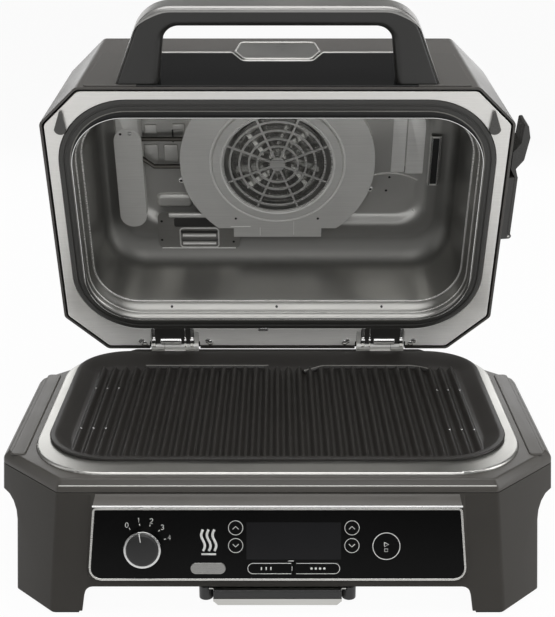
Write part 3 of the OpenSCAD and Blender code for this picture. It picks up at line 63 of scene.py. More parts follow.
# Sizes are in millimetres and angles in radians, but TICKS, the turns of the dial's marks, in degrees.
# SUNK is how far a fitted form reaches into its face.
MID_Y = 287.856
HINGE_Y, HINGE_Z = 420.0, 148.0
OPEN = math.radians(72.0)
LEAN = math.radians(14.8)
LID_FRONT, DRAFT = 386.0, math.atan(6.0 / 150.0)
PANEL_TOP, KEY_TOP, DIAL_TOP = 7.2, 8.0, 22.0
FAN_U, ROOF_V, RIDGE_V = 221.0, 128.0, 121.0
MOUTH_X, MOUTH_LOW, MOUTH_HIGH, MOUTH_R = 250.0, 46.0, 354.0, 72.0
COVER_V, SHROUD_V, RAISED_V, VENT_V, BAFFLE_V = 110.0, 109.0, 106.0, 115.3, 114.0
LID_PANEL, BADGE = 1.5, 2.4
PLATE_X, PLATE_Y, PLATE_RIM, PLATE_FLOOR = 260.0, 240.5, 147.4, 140.5
DIAL_X, DIAL_S, MODE_S = -141.8, 75.0, 52.4
TICKS = (-36.0, -9.0, 17.0, 43.0, 69.0)
SUNK, INK_H = -0.2, 0.06


# Frames of the grill, in millimetres, taken to the row frame in metres

def on_stand(x, y, z):
    """Stand frame: y runs back from the front of the feet and z up from the table."""
    x, y, z = np.broadcast_arrays(x, y, z)
    return np.stack([x, y - MID_Y, z], -1) * MM


def on_lid(x, u, v):
    """Lid frame: u runs up the rim from the hinge axis and v stands off the rim, both leaned by the open
    angle."""
    x, u, v = np.broadcast_arrays(x, u, v)
    y = HINGE_Y - u * math.cos(OPEN) + v * math.sin(OPEN) - MID_Y
    z = HINGE_Z + u * math.sin(OPEN) + v * math.cos(OPEN)
    return np.stack([x, y, z], -1) * MM


def on_face(x, s, d):
    """Leaning front face: s runs up the face from the table and d stands off it, both leaned by the
    face's angle."""
    x, s, d = np.broadcast_arrays(x, s, d)
    y = s * math.sin(LEAN) - d * math.cos(LEAN) - MID_Y
    z = s * math.cos(LEAN) + d * math.sin(LEAN)
    return np.stack([x, y, z], -1) * MM


def on_lid_front(x, w, d):
    """Front wall of the lid: w runs up the wall from the rim and d stands off it, turned by the wall's
    draft."""
    u = LID_FRONT - w * math.sin(DRAFT) + d * math.cos(DRAFT)
    return on_lid(x, u, w * math.cos(DRAFT) + d * math.sin(DRAFT))


def off_roof(base):
    """Frame of a face under the lid's roof at height base: the third number stands off it into the lid."""
    return lambda x, u, d: on_lid(x, u, base - d)


def off_deck(base):
    """Frame of a level face of the stand at height base: the third number stands up from it."""
    return lambda x, y, d: on_stand(x, y, base + d)


# Surfaces from arrays of points

def cells(rows, columns, wrap_rows=False, wrap_columns=False, flip=False):
    """Quads of a grid of points numbered row by row; a wrapped way joins its last line to its first."""
    at = np.arange(rows * columns).reshape(rows, columns)
    if wrap_rows:
        at = np.vstack([at, at[:1]])
    if wrap_columns:
        at = np.hstack([at, at[:, :1]])
    quads = np.stack([at[:-1, :-1], at[:-1, 1:], at[1:, 1:], at[1:, :-1]], -1).reshape(-1, 4)
    return quads[:, ::-1] if flip else quads


def sheet(points, wrap_rows=False, wrap_columns=False, flip=False, cap_first=False, cap_last=False):
    """A grid of points as a surface; a capped end closes its whole line with one flat face."""
    rows, columns = points.shape[:2]
    faces = cells(rows, columns, wrap_rows, wrap_columns, flip).tolist()
    first, last = list(range(columns)), list(range((rows - 1) * columns, rows * columns))
    if cap_first:
        faces.append(first if flip else first[::-1])
    if cap_last:
        faces.append(last[::-1] if flip else last)
    return points.reshape(-1, 3), faces


def loft(points, flip=False):
    """A closed body: each row of points is a loop, and both ends are capped."""
    return sheet(points, wrap_columns=True, flip=flip, cap_first=True, cap_last=True)


def smooth(t):
    """Soft step from 0 to 1: three times the square less twice the cube."""
    return t * t * (3 - 2 * t)


def placed(name, data):
    """A new object in the scene, made of the given data."""
    made = bpy.data.objects.new(name, data)
    bpy.context.scene.collection.objects.link(made)
    return made


def piece(name, parts, body, look, sharp=32.0, stands_for=()):
    """One object from several surfaces, smooth where faces meet below the sharp angle."""
    counts = np.cumsum([0] + [len(points) for points, faces in parts])
    points = np.vstack([points for points, faces in parts])
    faces = [[i + base for i in face] for base, (_, part) in zip(counts, parts) for face in part]
    mesh = bpy.data.meshes.new(name)
    mesh.from_pydata(points.tolist(), [], faces)
    mesh.polygons.foreach_set("use_smooth", np.ones(len(faces), bool))
    mesh.set_sharp_from_angle(angle=math.radians(sharp))
    mesh.materials.append(look)
    made = placed(name, mesh)
    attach(made, body)
    if stands_for:
        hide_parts(*stands_for)
    return made


def thicken(made, thickness):
    """Gives a sheet its thickness in millimetres, away from the side its faces look to."""
    wall = made.modifiers.new("wall", "SOLIDIFY")
    wall.thickness = thickness * MM
    wall.offset = -1.0


def rounded_ring(half, low, high, radius, corner=14, side=10):
    """Closed outlines of rounded rectangles, one a row: each corner is a quarter circle about its own
    centre, and each straight run joins the end of one corner to the start of the next in even steps."""
    given = np.broadcast_arrays(half, low, high, radius)
    half, low, high, radius = [np.atleast_1d(a).astype(float)[:, None] for a in given]
    turns = np.linspace(0, np.pi / 2, corner)[None, :]
    corners = []
    for quarter, (sx, sy) in enumerate([(1, 1), (-1, 1), (-1, -1), (1, -1)]):
        cx, cy = sx * (half - radius), np.where(sy > 0, high - radius, low + radius)
        angle = turns + quarter * np.pi / 2
        corners.append(np.stack([cx + radius * np.cos(angle), cy + radius * np.sin(angle)], -1))
    mix = np.linspace(0, 1, side + 2)[1:-1, None]
    runs = []
    for here, after in zip(corners, corners[1:] + corners[:1]):
        runs += [here, here[:, -1:] * (1 - mix) + after[:, :1] * mix]
    return np.concatenate(runs, 1)


def lathe(place, x, y, profile, turns=28):
    """Surface of revolution on a face: each [radius, height] of the profile is carried round (x, y) in
    even steps, and both ends are closed."""
    angle = np.linspace(0, 2 * np.pi, turns, endpoint=False)
    profile = np.asarray(profile, float)
    points = place(x + profile[:, :1] * np.cos(angle), y + profile[:, :1] * np.sin(angle), profile[:, 1:])
    return loft(points)


def headed(radius, height):
    """Profile of a domed head: a short wall and then a quarter of an ellipse up to a small flat."""
    turn = np.linspace(0, 1.35, 6)
    dome = np.stack([radius * np.cos(turn), height * (0.4 + 0.6 * np.sin(turn))], -1)
    return np.vstack([[[radius, SUNK]], dome])


def sides(path, closed):
    """Unit vectors square to a flat path, to its left."""
    ahead = np.roll(path, -1, 0) - np.roll(path, 1, 0)
    if not closed:
        ahead[0], ahead[-1] = path[1] - path[0], path[-1] - path[-2]
    return np.stack([-ahead[:, 1], ahead[:, 0]], -1) / np.linalg.norm(ahead, axis=1, keepdims=True)


def bead(place, path, width, height, closed=False):
    """Rounded ridge on a face: half an ellipse, closed below by a flat sunk a little into the face, is
    carried along the path square to its direction."""
    path = np.asarray(path, float)
    across = sides(path, closed)
    turn = np.linspace(0, np.pi, 9)
    out = np.concatenate([np.cos(turn), [-1, 1]]) * width / 2
    up = np.concatenate([np.sin(turn) * height, [SUNK, SUNK]])
    flat = path[:, None, :] + across[:, None, :] * out[None, :, None]
    points = place(flat[..., 0], flat[..., 1], up[None, :])
    return sheet(points, wrap_rows=True, wrap_columns=True) if closed else loft(points)


def pad(place, x, half, low, high, radius, rise, edge):
    """Raised field on a face: rounded rectangles one above the other whose inset follows a quarter of an
    ellipse, closed by flats above and below."""
    turn = np.linspace(0, np.pi / 2, 7)
    inset = np.concatenate([[0], edge * (1 - np.cos(turn))])
    height = np.concatenate([[SUNK], rise * np.sin(turn)])
    ring = rounded_ring(half - inset, low + inset, high - inset, np.maximum(radius - inset, 0.3), 8, 4)
    return loft(place(x + ring[..., 0], ring[..., 1], height[:, None]))


def ribbon(path, width, face, closed=False):
    """Flat line of print on a face at the given height: the path is set off to both sides by half the
    width, square to its own direction."""
    path = np.asarray(path, float)
    across = sides(path, closed)
    edges = np.stack([path + across * width / 2, path - across * width / 2])
    return sheet(on_face(edges[..., 0], edges[..., 1], face + INK_H), wrap_columns=closed, flip=True)


def arc_path(x, s, r, start, end, count=24, rx=None):
    """Points of an arc about (x, s), angles in degrees from +x."""
    angle = np.radians(np.linspace(start, end, count))
    return np.stack([x + (rx or r) * np.cos(angle), s + r * np.sin(angle)], -1)


def circle(x, s, r, count):
    """Points of a whole circle, in one step fewer than the count."""
    return arc_path(x, s, r, 0, 360, count)[:-1]


# Shared effects, each a node group

OUTPUTS = ("Color", "Roughness", "Height")


def effect(name, outputs, **inputs):
    """An empty node group with its named sockets: four numbers are a colour, three a vector and one a
    value."""
    tree = bpy.data.node_groups.new(name, "ShaderNodeTree")
    kinds = {4: "NodeSocketColor", 3: "NodeSocketVector", 1: "NodeSocketFloat"}
    for label, value in inputs.items():
        kind = kinds[np.size(value)]
        tree.interface.new_socket(label, in_out="INPUT", socket_type=kind).default_value = value
    for label in outputs:
        tree.interface.new_socket(label, in_out="OUTPUT", socket_type=kinds[4 if label == "Color" else 1])
    return tree, tree.nodes.new("NodeGroupInput").outputs, tree.nodes.new("NodeGroupOutput").inputs


def put_out(tree, out, **values):
    """Links each value to the group's output of that name."""
    for label, value in values.items():
        tree.links.new(value, out[label])


def set_or_link(tree, socket, setting):
    """Gives a socket its number, or links it to the socket that gives one."""
    if isinstance(setting, (int, float, tuple)):
        socket.default_value = setting
    else:
        tree.links.new(setting, socket)


def object_place(tree):
    """Where a point lies in its object's own frame."""
    return tree.nodes.new("ShaderNodeTexCoord").outputs["Object"]


def part_of(tree, vector, axis):
    """One part of a vector."""
    node = tree.nodes.new("ShaderNodeSeparateXYZ")
    tree.links.new(vector, node.inputs[0])
    return node.outputs[axis]


def noise(tree, vector, scale, detail):
    """Cloudy noise over a vector, mostly between 0.3 and 0.7."""
    node = tree.nodes.new("ShaderNodeTexNoise")
    node.inputs["Detail"].default_value = detail
    node.inputs["Roughness"].default_value = 0.55
    tree.links.new(vector, node.inputs["Vector"])
    set_or_link(tree, node.inputs["Scale"], scale)
    return node.outputs["Fac"]


def streaks(tree, where, stretch):
    """Noise that is drawn out by a different number along each axis."""
    node = tree.nodes.new("ShaderNodeVectorMath")
    node.operation = "MULTIPLY"
    tree.links.new(where, node.inputs[0])
    set_or_link(tree, node.inputs[1], stretch)
    return noise(tree, node.outputs[0], 1.0, 3.0)


def spread(tree, value, low, high, from_low=0.3, from_high=0.7):
    """Stretches a value from one range, by default that of the noise, to the range low to high."""
    node = tree.nodes.new("ShaderNodeMapRange")
    tree.links.new(value, node.inputs["Value"])
    labels = ("From Min", "From Max", "To Min", "To Max")
    for label, setting in zip(labels, (from_low, from_high, low, high)):
        set_or_link(tree, node.inputs[label], setting)
    return node.outputs["Result"]


def sums(tree, operation, a, b):
    """One step of arithmetic on two values."""
    node = tree.nodes.new("ShaderNodeMath")
    node.operation = operation
    for socket, setting in zip(node.inputs, (a, b)):
        set_or_link(tree, socket, setting)
    return node.outputs[0]


def tint(tree, colour, factor):
    """Colour times a value."""
    node = tree.nodes.new("ShaderNodeVectorMath")
    node.operation = "SCALE"
    tree.links.new(colour, node.inputs[0])
    tree.links.new(factor, node.inputs["Scale"])
    return node.outputs[0]


def blended(tree, mask, first, second):
    """The first colour where the mask is 0 and the second where it is 1."""
    node = tree.nodes.new("ShaderNodeMix")
    node.data_type = "RGBA"
    for label, value in (("Factor", mask), ("A", first), ("B", second)):
        tree.links.new(value, node.inputs[label])
    return node.outputs["Result"]


def moulded_grain():
    """Spark-eroded plastic: fine even grain, with slow patches of handling that change tone and gloss a
    little."""
    tree, given, out = effect("moulded_grain", OUTPUTS, Tone=(0.05, 0.05, 0.05, 1.0), Grain=1400.0,
                              Gloss=0.42, Patch=0.1)
    where = object_place(tree)
    grain, cloud = noise(tree, where, given["Grain"], 2.0), noise(tree, where, 9.0, 4.0)
    shade = sums(tree, "MULTIPLY", spread(tree, cloud, 0.93, 1.08), spread(tree, grain, 0.96, 1.05))
    swing = sums(tree, "MULTIPLY", given["Patch"], spread(tree, cloud, -0.5, 0.5))
    swing = sums(tree, "ADD", swing, spread(tree, grain, -0.03, 0.03))
    put_out(tree, out, Color=tint(tree, given["Tone"], shade),
            Roughness=sums(tree, "ADD", given["Gloss"], swing), Height=grain)
    return tree


def drawn_metal():
    """Rolled or drawn sheet: long fine streaks along one way, with slow clouds where it was wiped and
    warmed."""
    tree, given, out = effect("drawn_metal", OUTPUTS, Tone=(0.6, 0.6, 0.58, 1.0),
                              Streak=(20.0, 900.0, 900.0), Gloss=0.25, Wipe=0.1)
    where = object_place(tree)
    streak, cloud = streaks(tree, where, given["Streak"]), noise(tree, where, 7.0, 4.0)
    shade = sums(tree, "MULTIPLY", spread(tree, streak, 0.95, 1.04), spread(tree, cloud, 0.94, 1.05))
    swing = sums(tree, "MULTIPLY", given["Wipe"], spread(tree, cloud, -0.5, 0.5))
    swing = sums(tree, "ADD", swing, spread(tree, streak, -0.04, 0.04))
    put_out(tree, out, Color=tint(tree, given["Tone"], shade),
            Roughness=sums(tree, "ADD", given["Gloss"], swing), Height=streak)
    return tree


def banded_paint():
    """Two paints side by side: one up to a distance from the middle across the grill, the other beyond it,
    both with the same fine grain."""
    tree, given, out = effect("banded_paint", OUTPUTS, Inner_Tone=(0.01, 0.01, 0.01, 1.0), Inner_Gloss=0.12,
                              Outer_Tone=(0.07, 0.07, 0.07, 1.0), Outer_Gloss=0.4, Edge=0.19)
    where = object_place(tree)
    past = sums(tree, "SUBTRACT", sums(tree, "ABSOLUTE", part_of(tree, where, "X"), 0.0), given["Edge"])
    mask = spread(tree, past, 0.0, 1.0, -0.0004, 0.0004)
    grain = noise(tree, where, 1800.0, 2.0)
    paint = blended(tree, mask, given["Inner_Tone"], given["Outer_Tone"])
    gloss = spread(tree, mask, given["Inner_Gloss"], given["Outer_Gloss"], 0.0, 1.0)
    put_out(tree, out, Color=tint(tree, paint, spread(tree, grain, 0.96, 1.05)),
            Roughness=sums(tree, "ADD", gloss, spread(tree, grain, -0.02, 0.02)),
            Height=sums(tree, "MULTIPLY", grain, mask))
    return tree


def drawn_liner():
    """Deep-drawn liner: its finish follows the height above the rim. The walls are bright, the drawn bend
    is darker as painted shade and rougher, and the roof is paler as painted light, with soft changes
    between them and slow clouds over all."""
    tree, given, out = effect("drawn_liner", (*OUTPUTS, "Metallic"), Wall=(0.4, 0.4, 0.4, 1.0),
                              Bend=(0.2, 0.2, 0.2, 1.0), Roof=(0.6, 0.6, 0.6, 1.0), Bend_Low=0.086,
                              Bend_High=0.121)
    where = object_place(tree)
    lean = tree.nodes.new("ShaderNodeVectorMath")
    lean.operation = "DOT_PRODUCT"
    lean.inputs[1].default_value = (0.0, math.sin(OPEN), math.cos(OPEN))
    tree.links.new(where, lean.inputs[0])
    axis = ((HINGE_Y - MID_Y) * math.sin(OPEN) + HINGE_Z * math.cos(OPEN)) * MM
    height = sums(tree, "SUBTRACT", lean.outputs["Value"], axis)
    bend = spread(tree, sums(tree, "SUBTRACT", height, given["Bend_Low"]), 0.0, 1.0, 0.0, 0.014)
    roof = spread(tree, sums(tree, "SUBTRACT", height, given["Bend_High"]), 0.0, 1.0, -0.001, 0.003)
    # painted shade: the tone drops on the drawn bend; painted light: it rises on the roof
    metal_tone = blended(tree, roof, blended(tree, bend, given["Wall"], given["Bend"]), given["Roof"])
    cloud = noise(tree, where, 7.0, 4.0)
    dull = sums(tree, "MULTIPLY", bend, sums(tree, "SUBTRACT", 1.0, roof))
    rough = sums(tree, "ADD", spread(tree, dull, 0.30, 0.52, 0.0, 1.0), spread(tree, cloud, -0.03, 0.03))
    put_out(tree, out, Color=tint(tree, metal_tone, spread(tree, cloud, 0.94, 1.05)), Roughness=rough,
            Metallic=spread(tree, roof, 0.95, 0.6, 0.0, 1.0), Height=cloud)
    return tree


def trim_painted_light():
    """Rolled trim that is paler and duller towards its lower edge, the paler tone there being painted
    light: two tones run into each other over a height, under long fine streaks."""
    tree, given, out = effect("trim_painted_light", (*OUTPUTS, "Metallic"), Tone=(0.8, 0.79, 0.76, 1.0),
                              Low_Tone=(1.0, 0.99, 0.96, 1.0), Low=0.165, High=0.215)
    where = object_place(tree)
    pale = spread(tree, part_of(tree, where, "Z"), 1.0, 0.0, given["Low"], given["High"])
    streak = streaks(tree, where, (30.0, 700.0, 700.0))
    # painted light: the tone turns paler towards the trim's lower edge
    steel = blended(tree, pale, given["Tone"], given["Low_Tone"])
    rough = sums(tree, "ADD", spread(tree, pale, 0.34, 0.44, 0.0, 1.0), spread(tree, streak, -0.04, 0.04))
    put_out(tree, out, Color=tint(tree, steel, spread(tree, streak, 0.95, 1.03)), Roughness=rough,
            Metallic=spread(tree, pale, 0.75, 0.15, 0.0, 1.0), Height=streak)
    return tree


GRAIN, DRAWN, BANDED = moulded_grain(), drawn_metal(), banded_paint()
LINED, PAINTED_LIGHT_TRIM = drawn_liner(), trim_painted_light()
RELIEF = 0.0001


def finish(name, look, bump, metallic=0.0, specular=0.5, **values):
    """A material: one shared effect drives colour, roughness and a fine bump, and metallic where it puts
    that out."""
    made = bpy.data.materials.new(name)
    made.use_nodes = True
    tree = made.node_tree
    shader = tree.nodes["Principled BSDF"]
    shader.inputs["Metallic"].default_value = metallic
    shader.inputs["Specular IOR Level"].default_value = specular
    source = tree.nodes.new("ShaderNodeGroup")
    source.node_tree = look
    for label, value in values.items():
        source.inputs[label].default_value = value
    for label, socket in (("Color", "Base Color"), ("Roughness", "Roughness"), ("Metallic", "Metallic")):
        if label in source.outputs:
            tree.links.new(source.outputs[label], shader.inputs[socket])
    relief = tree.nodes.new("ShaderNodeBump")
    relief.inputs["Strength"].default_value = bump
    relief.inputs["Distance"].default_value = RELIEF
    tree.links.new(source.outputs["Height"], relief.inputs["Height"])
    tree.links.new(relief.outputs["Normal"], shader.inputs["Normal"])
    return made


def plastic(name, tone, gloss, grain=1400.0, patch=0.1, bump=0.25, **more):
    """A moulded or painted finish."""
    return finish(name, GRAIN, bump, Tone=(*tone, 1), Gloss=gloss, Grain=grain, Patch=patch, **more)


def metal(name, tone, gloss, streak=(20.0, 900.0, 900.0), wipe=0.1, bump=0.06, metallic=1.0):
    """A rolled or drawn metal finish."""
    return finish(name, DRAWN, bump, metallic, Tone=(*tone, 1), Gloss=gloss, Streak=streak, Wipe=wipe)


LOOKS = {
    "housing_plastic": plastic("charcoal_housing", (0.049, 0.0455, 0.0405), 0.44, specular=0.22),
    "deck_plastic": plastic("charcoal_deck", (0.068, 0.063, 0.056), 0.38),
    "lid_paint": plastic("charcoal_lid_paint", (0.082, 0.077, 0.071), 0.36, grain=2600.0),
    "black_plastic": plastic("black_plastic", (0.018, 0.018, 0.018), 0.38),
    "gloss_black": plastic("gloss_black", (0.0035, 0.0035, 0.0035), 0.14, patch=0.05, bump=0.02,
                           specular=0.1),
    "key_black": plastic("satin_key", (0.0035, 0.0035, 0.0035), 0.22, bump=0.05, specular=0.1),
    "silver_plastic": metal("silver_bezel", (0.74, 0.73, 0.70), 0.26, bump=0.005),
    "window": plastic("smoked_window", (0.013, 0.013, 0.014), 0.12, patch=0.04, bump=0.01, specular=0.14),
    "board": plastic("board_lacquer", (0.02, 0.10, 0.05), 0.40),
    "rubber": plastic("foot_rubber", (0.020, 0.020, 0.020), 0.70),
    "silicone": plastic("gasket_silicone", (0.045, 0.044, 0.041), 0.46, grain=900.0),
    "steel": metal("pressed_steel", (0.56, 0.555, 0.53), 0.34),
    "liner_steel": metal("liner_steel", (0.40, 0.395, 0.378), 0.33, streak=(14.0, 500.0, 500.0), wipe=0.05,
                         bump=0.002, metallic=0.95),
    "trim_steel": metal("trim_steel", (0.80, 0.79, 0.76), 0.34, streak=(30.0, 700.0, 700.0), bump=0.03,
                        metallic=0.75),
    "zinc_steel": metal("zinc_steel", (0.58, 0.58, 0.57), 0.30),
    "heater_tube": metal("heater_sheath", (0.10, 0.095, 0.085), 0.42),
    "nonstick": plastic("nonstick_coat", (0.0203, 0.0183, 0.0164), 0.42, grain=1900.0, bump=0.3),
    "chrome": metal("chrome", (0.74, 0.74, 0.73), 0.10, bump=0.01),
    "handle_plastic": plastic("handle_plastic", (0.020, 0.0195, 0.018), 0.38),
    "strip_metal": metal("handle_strip", (0.33, 0.325, 0.315), 0.38, bump=0.01, metallic=0.8),
    "badge_metal": metal("bare_badge", (0.44, 0.435, 0.42), 0.32, bump=0.01),
}

SHEET = metal("aluminised_sheet", (0.72, 0.715, 0.69), 0.46, wipe=0.06, bump=0.015, metallic=0.4)
WHEEL = metal("plated_wheel", (0.56, 0.56, 0.54), 0.22, wipe=0.06, bump=0.01, metallic=0.95)
# trim frame whose paler lower edge is painted light
TRIM = finish("trim_frame_steel", PAINTED_LIGHT_TRIM, 0.03)
# plated wire for the fan guard, and a painted highlight on the liner's step beads
PLATED_WIRE_AND_HIGHLIGHT = metal("plated_wire_and_painted_highlight", (0.78, 0.775, 0.75), 0.30, bump=0.01, metallic=0.6)
LID_FRONT_PAINT = finish("lid_front_paint", BANDED, 0.1, Edge=0.165, Inner_Gloss=0.14, Outer_Gloss=0.38,
                         Inner_Tone=(0.006, 0.006, 0.006, 1), Outer_Tone=(0.085, 0.081, 0.075, 1))
# the liner's darker bend tone is painted shade and its paler roof tone is painted light
LINER = finish("drawn_liner", LINED, 0.02, Wall=(0.40, 0.395, 0.378, 1), Bend=(0.24, 0.238, 0.226, 1),
               Roof=(0.62, 0.615, 0.59, 1))
SHIELD = metal("bright_shield", (0.92, 0.915, 0.89), 0.40, bump=0.01, metallic=0.25)
VENT = metal("dark_vent", (0.34, 0.335, 0.32), 0.36, bump=0.01, metallic=0.8)
# pale bead colour that stands for a painted highlight line
PAINTED_HIGHLIGHT_LINE = plastic("painted_highlight_line", (0.58, 0.57, 0.54), 0.25, bump=0.02)
STOP = plastic("stop_rubber", (0.075, 0.073, 0.068), 0.28, bump=0.05)
BOX = plastic("box_plastic", (0.040, 0.039, 0.036), 0.30, bump=0.1)
# paler than the housing as painted light on the up-facing hood
HOOD_PAINTED_LIGHT = plastic("hood_painted_light_plastic", (0.104, 0.097, 0.088), 0.34)
KEY_METAL = metal("brushed_key", (0.42, 0.415, 0.40), 0.30, bump=0.01)
PALE_STEEL = metal("pale_pressing", (0.78, 0.775, 0.75), 0.44, bump=0.015, metallic=0.45)
ROOF_STEEL = metal("roof_pressing", (0.60, 0.595, 0.57), 0.46, bump=0.015, metallic=0.7)
# dark colour that is painted shade in the hinge pockets and the vent's inset
PAINTED_SHADE_INSET = plastic("shaded_inset", (0.030, 0.029, 0.027), 0.5)
# black that is painted shade in holes, sockets, the slot and the mouth's flange, and a dark joint at a seam
SHADE_AND_SEAM_BLACK = plastic("shade_and_seam_black", (0.006, 0.006, 0.006), 0.7)
# grey bead colour that stands for a painted highlight along an edge
PAINTED_HIGHLIGHT_EDGE = plastic("painted_highlight_edge", (0.20, 0.195, 0.18), 0.25)
INK = plastic("white_print", (0.80, 0.80, 0.78), 0.5, bump=0.02)

OWN_FINISH = {
    "fan_shroud": SHEET, "smoke_baffle": SHEET, "terminal_cover": SHEET, "vent_plate": VENT,
    "fan_wheel": WHEEL, "fan_guard": PLATED_WIRE_AND_HIGHLIGHT, "lid_front_panel": LID_FRONT_PAINT, "lid_trim_frame": TRIM,
    "bumpers": STOP, "smoke_key": KEY_METAL, "smoke_box_housing": BOX, "smoke_box_cover": BOX,
    "hinge_lid_leaves": PALE_STEEL, "hinge_base_leaves": PALE_STEEL}


def dress_nodes():
    """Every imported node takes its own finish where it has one, and otherwise that of its slot in the
    record."""
    for row in frame["record"]["subparts"]:
        shown = NODES[row["node"]].data
        shown.materials.clear()
        shown.materials.append(OWN_FINISH.get(row["node"], LOOKS[row["material_slot"]]))


SHARP = math.radians(31.0)


def true_edges():
    """Geometry group: joins a node's split corners and shades it by the angles between its faces."""
    tree = bpy.data.node_groups.new("true_edges", "GeometryNodeTree")
    tree.interface.new_socket("Geometry", in_out="INPUT", socket_type="NodeSocketGeometry")
    tree.interface.new_socket("Geometry", in_out="OUTPUT", socket_type="NodeSocketGeometry")
    given, out = tree.nodes.new("NodeGroupInput"), tree.nodes.new("NodeGroupOutput")
    join = tree.nodes.new("GeometryNodeMergeByDistance")
    join.inputs["Distance"].default_value = 0.00001
    angle = tree.nodes.new("GeometryNodeInputMeshEdgeAngle").outputs["Unsigned Angle"]
    shade = tree.nodes.new("GeometryNodeSetMeshNormal")
    shade.inputs["Remove Custom"].default_value = True
    tree.links.new(given.outputs[0], join.inputs["Geometry"])
    tree.links.new(join.outputs["Geometry"], shade.inputs["Mesh"])
    tree.links.new(sums(tree, "GREATER_THAN", angle, SHARP), shade.inputs["Edge Sharpness"])
    tree.links.new(shade.outputs[0], out.inputs[0])
    return tree


SOFT = {
    "base_housing": 1.4, "deck_cover": 1.6, "lid_shell": 2.2, "tray_front": 2.4, "smoke_box_housing": 1.6,
    "smoke_box_cover": 1.6, "terminal_cover": 5.0, "fan_shroud": 0.5, "vent_plate": 0.4, "trim_ring": 0.6,
    "dial": 1.2, "dial_ring": 0.5, "panel_bezel": 0.35, "lid_trim_frame": 0.7, "lid_gasket": 1.6,
    "bumpers": 2.0, "hinge_base_leaves": 0.5, "hinge_lid_leaves": 0.5, "badge_plate": 0.6,
    "lid_front_panel": 0.4, "smoke_key": 0.3, "tray_runners": 1.0, "smoke_baffle": 0.3, "fan_guard": 0.4}


def soft_nodes():
    """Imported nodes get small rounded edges, as moulded and pressed parts have."""
    group = true_edges()
    for name, width in SOFT.items():
        node = NODES[name]
        node.modifiers.new("true_edges", "NODES").node_group = group
        flat = node.modifiers.new("flat_faces", "DECIMATE")
        flat.decimate_type = "DISSOLVE"
        flat.angle_limit = math.radians(0.6)
        edge = node.modifiers.new("soft_edges", "BEVEL")
        edge.width = width * MM
        edge.segments = 3
        edge.limit_method = "ANGLE"
        edge.angle_limit = SHARP
        edge.harden_normals = True


# Lid pieces

def liner_pressing():
    """Pressed liner: rounded rectangles one above the other. The height rises from the mouth over two
    flared bands with a small step after each, then up a drafted wall, and a quarter circle turns the
    wall into the roof. The bands flare less at the two sides, and on the hinge side the wall leans in by
    an ellipse's quarter. The rings then close on the roof's middle, and the roof drops back by a smooth
    step inside a large rounded rectangle."""
    foot, top, lean, field = 24.0, 95.0, 40.0, 45.0
    bend = RIDGE_V - top
    step = np.linspace(0, 1, 6)
    turn = np.linspace(0, np.pi / 2, 14)
    wall = np.linspace(foot, top, 18)[1:-1]
    bands = [[0, 4], 8 + 2 * step, [14, 18], 22 + 2 * step]
    height = np.concatenate([*bands, wall, top + bend * np.sin(turn)])
    flare = [[0, 2.3], 4.6 + 1.2 * smooth(step), [8.1, 10.4], 12.7 + 1.2 * smooth(step)]
    draft = 13.9 + 1.6 * (wall - foot) / (top - foot)
    inset = np.concatenate([*flare, draft, 15.5 + bend * (1 - np.cos(turn))])
    rise = np.clip((height - lean) / (RIDGE_V - lean), 0, 1)
    cove = 20.0 * (1 - np.sqrt(1 - rise ** 2))
    ease = 0.4 * inset * np.where(height < foot, 1.0, np.clip((top - height) / (top - foot), 0, 1))
    ring = rounded_ring(MOUTH_X - inset + ease, MOUTH_LOW + inset + cove, MOUTH_HIGH - inset,
                        MOUTH_R - inset, corner=16, side=44)
    shrink = np.linspace(1, 0.02, 42)[1:, None, None]
    centre = np.array([0.0, FAN_U])
    roof = centre + (ring[-1:] - centre) * shrink
    apart = np.abs(roof - np.array([5.0, 214.0])) - (np.array([201.0, 98.0]) - field)
    inside = field - np.linalg.norm(np.maximum(apart, 0), axis=-1) - np.minimum(apart.max(-1), 0)
    roof_v = RIDGE_V + (ROOF_V - RIDGE_V) * smooth(np.clip(inside / 18.0, 0, 1))
    outline = np.concatenate([ring, roof])
    level = np.concatenate([np.repeat(height[:, None], ring.shape[1], 1), roof_v])
    inner = sheet(on_lid(outline[..., 0], outline[..., 1], level), wrap_columns=True, cap_last=True)
    thicken(piece("liner_pressing", [inner], "lid", LINER, stands_for=["lid_liner"]), 1.2)
    lines = []
    for low, lip, width in ((9.0, 5.2, 2.0), (23.0, 13.3, 3.0)):
        path = rounded_ring(MOUTH_X - 0.6 * lip, MOUTH_LOW + lip, MOUTH_HIGH - lip, MOUTH_R - lip, 20, 12)
        lines.append(bead(off_roof(low), path[0], width, 1.4, closed=True))
    # painted highlight: pale beads along the liner's two steps
    piece("liner_edges", lines, "lid", PLATED_WIRE_AND_HIGHLIGHT)


def bent(corners, radius):
    """Open outline with rounded bends: straight runs in even steps, and at each corner an arc that
    touches both runs."""
    corners = np.asarray(corners, float)
    mix = np.linspace(0, 1, 17)[:, None]
    runs, last = [], corners[0]
    for before, at, after in zip(corners[:-2], corners[1:-1], corners[2:]):
        back, ahead = [(p - at) / np.linalg.norm(p - at) for p in (before, after)]
        half = math.acos(float(back @ ahead)) / 2
        middle = at + (back + ahead) / np.linalg.norm(back + ahead) * radius / math.sin(half)
        first = at + back * radius / math.tan(half)
        way = math.copysign(1.0, ahead[0] * back[1] - ahead[1] * back[0])
        start = math.atan2(first[1] - middle[1], first[0] - middle[0])
        angle = start + way * (math.pi - 2 * half) * np.linspace(0, 1, 15)
        arc = middle + radius * np.stack([np.cos(angle), np.sin(angle)], -1)
        runs += [last + (first - last) * mix[:-1], arc[:-1]]
        last = arc[-1]
    return np.vstack(runs + [last + (corners[-1] - last) * mix])


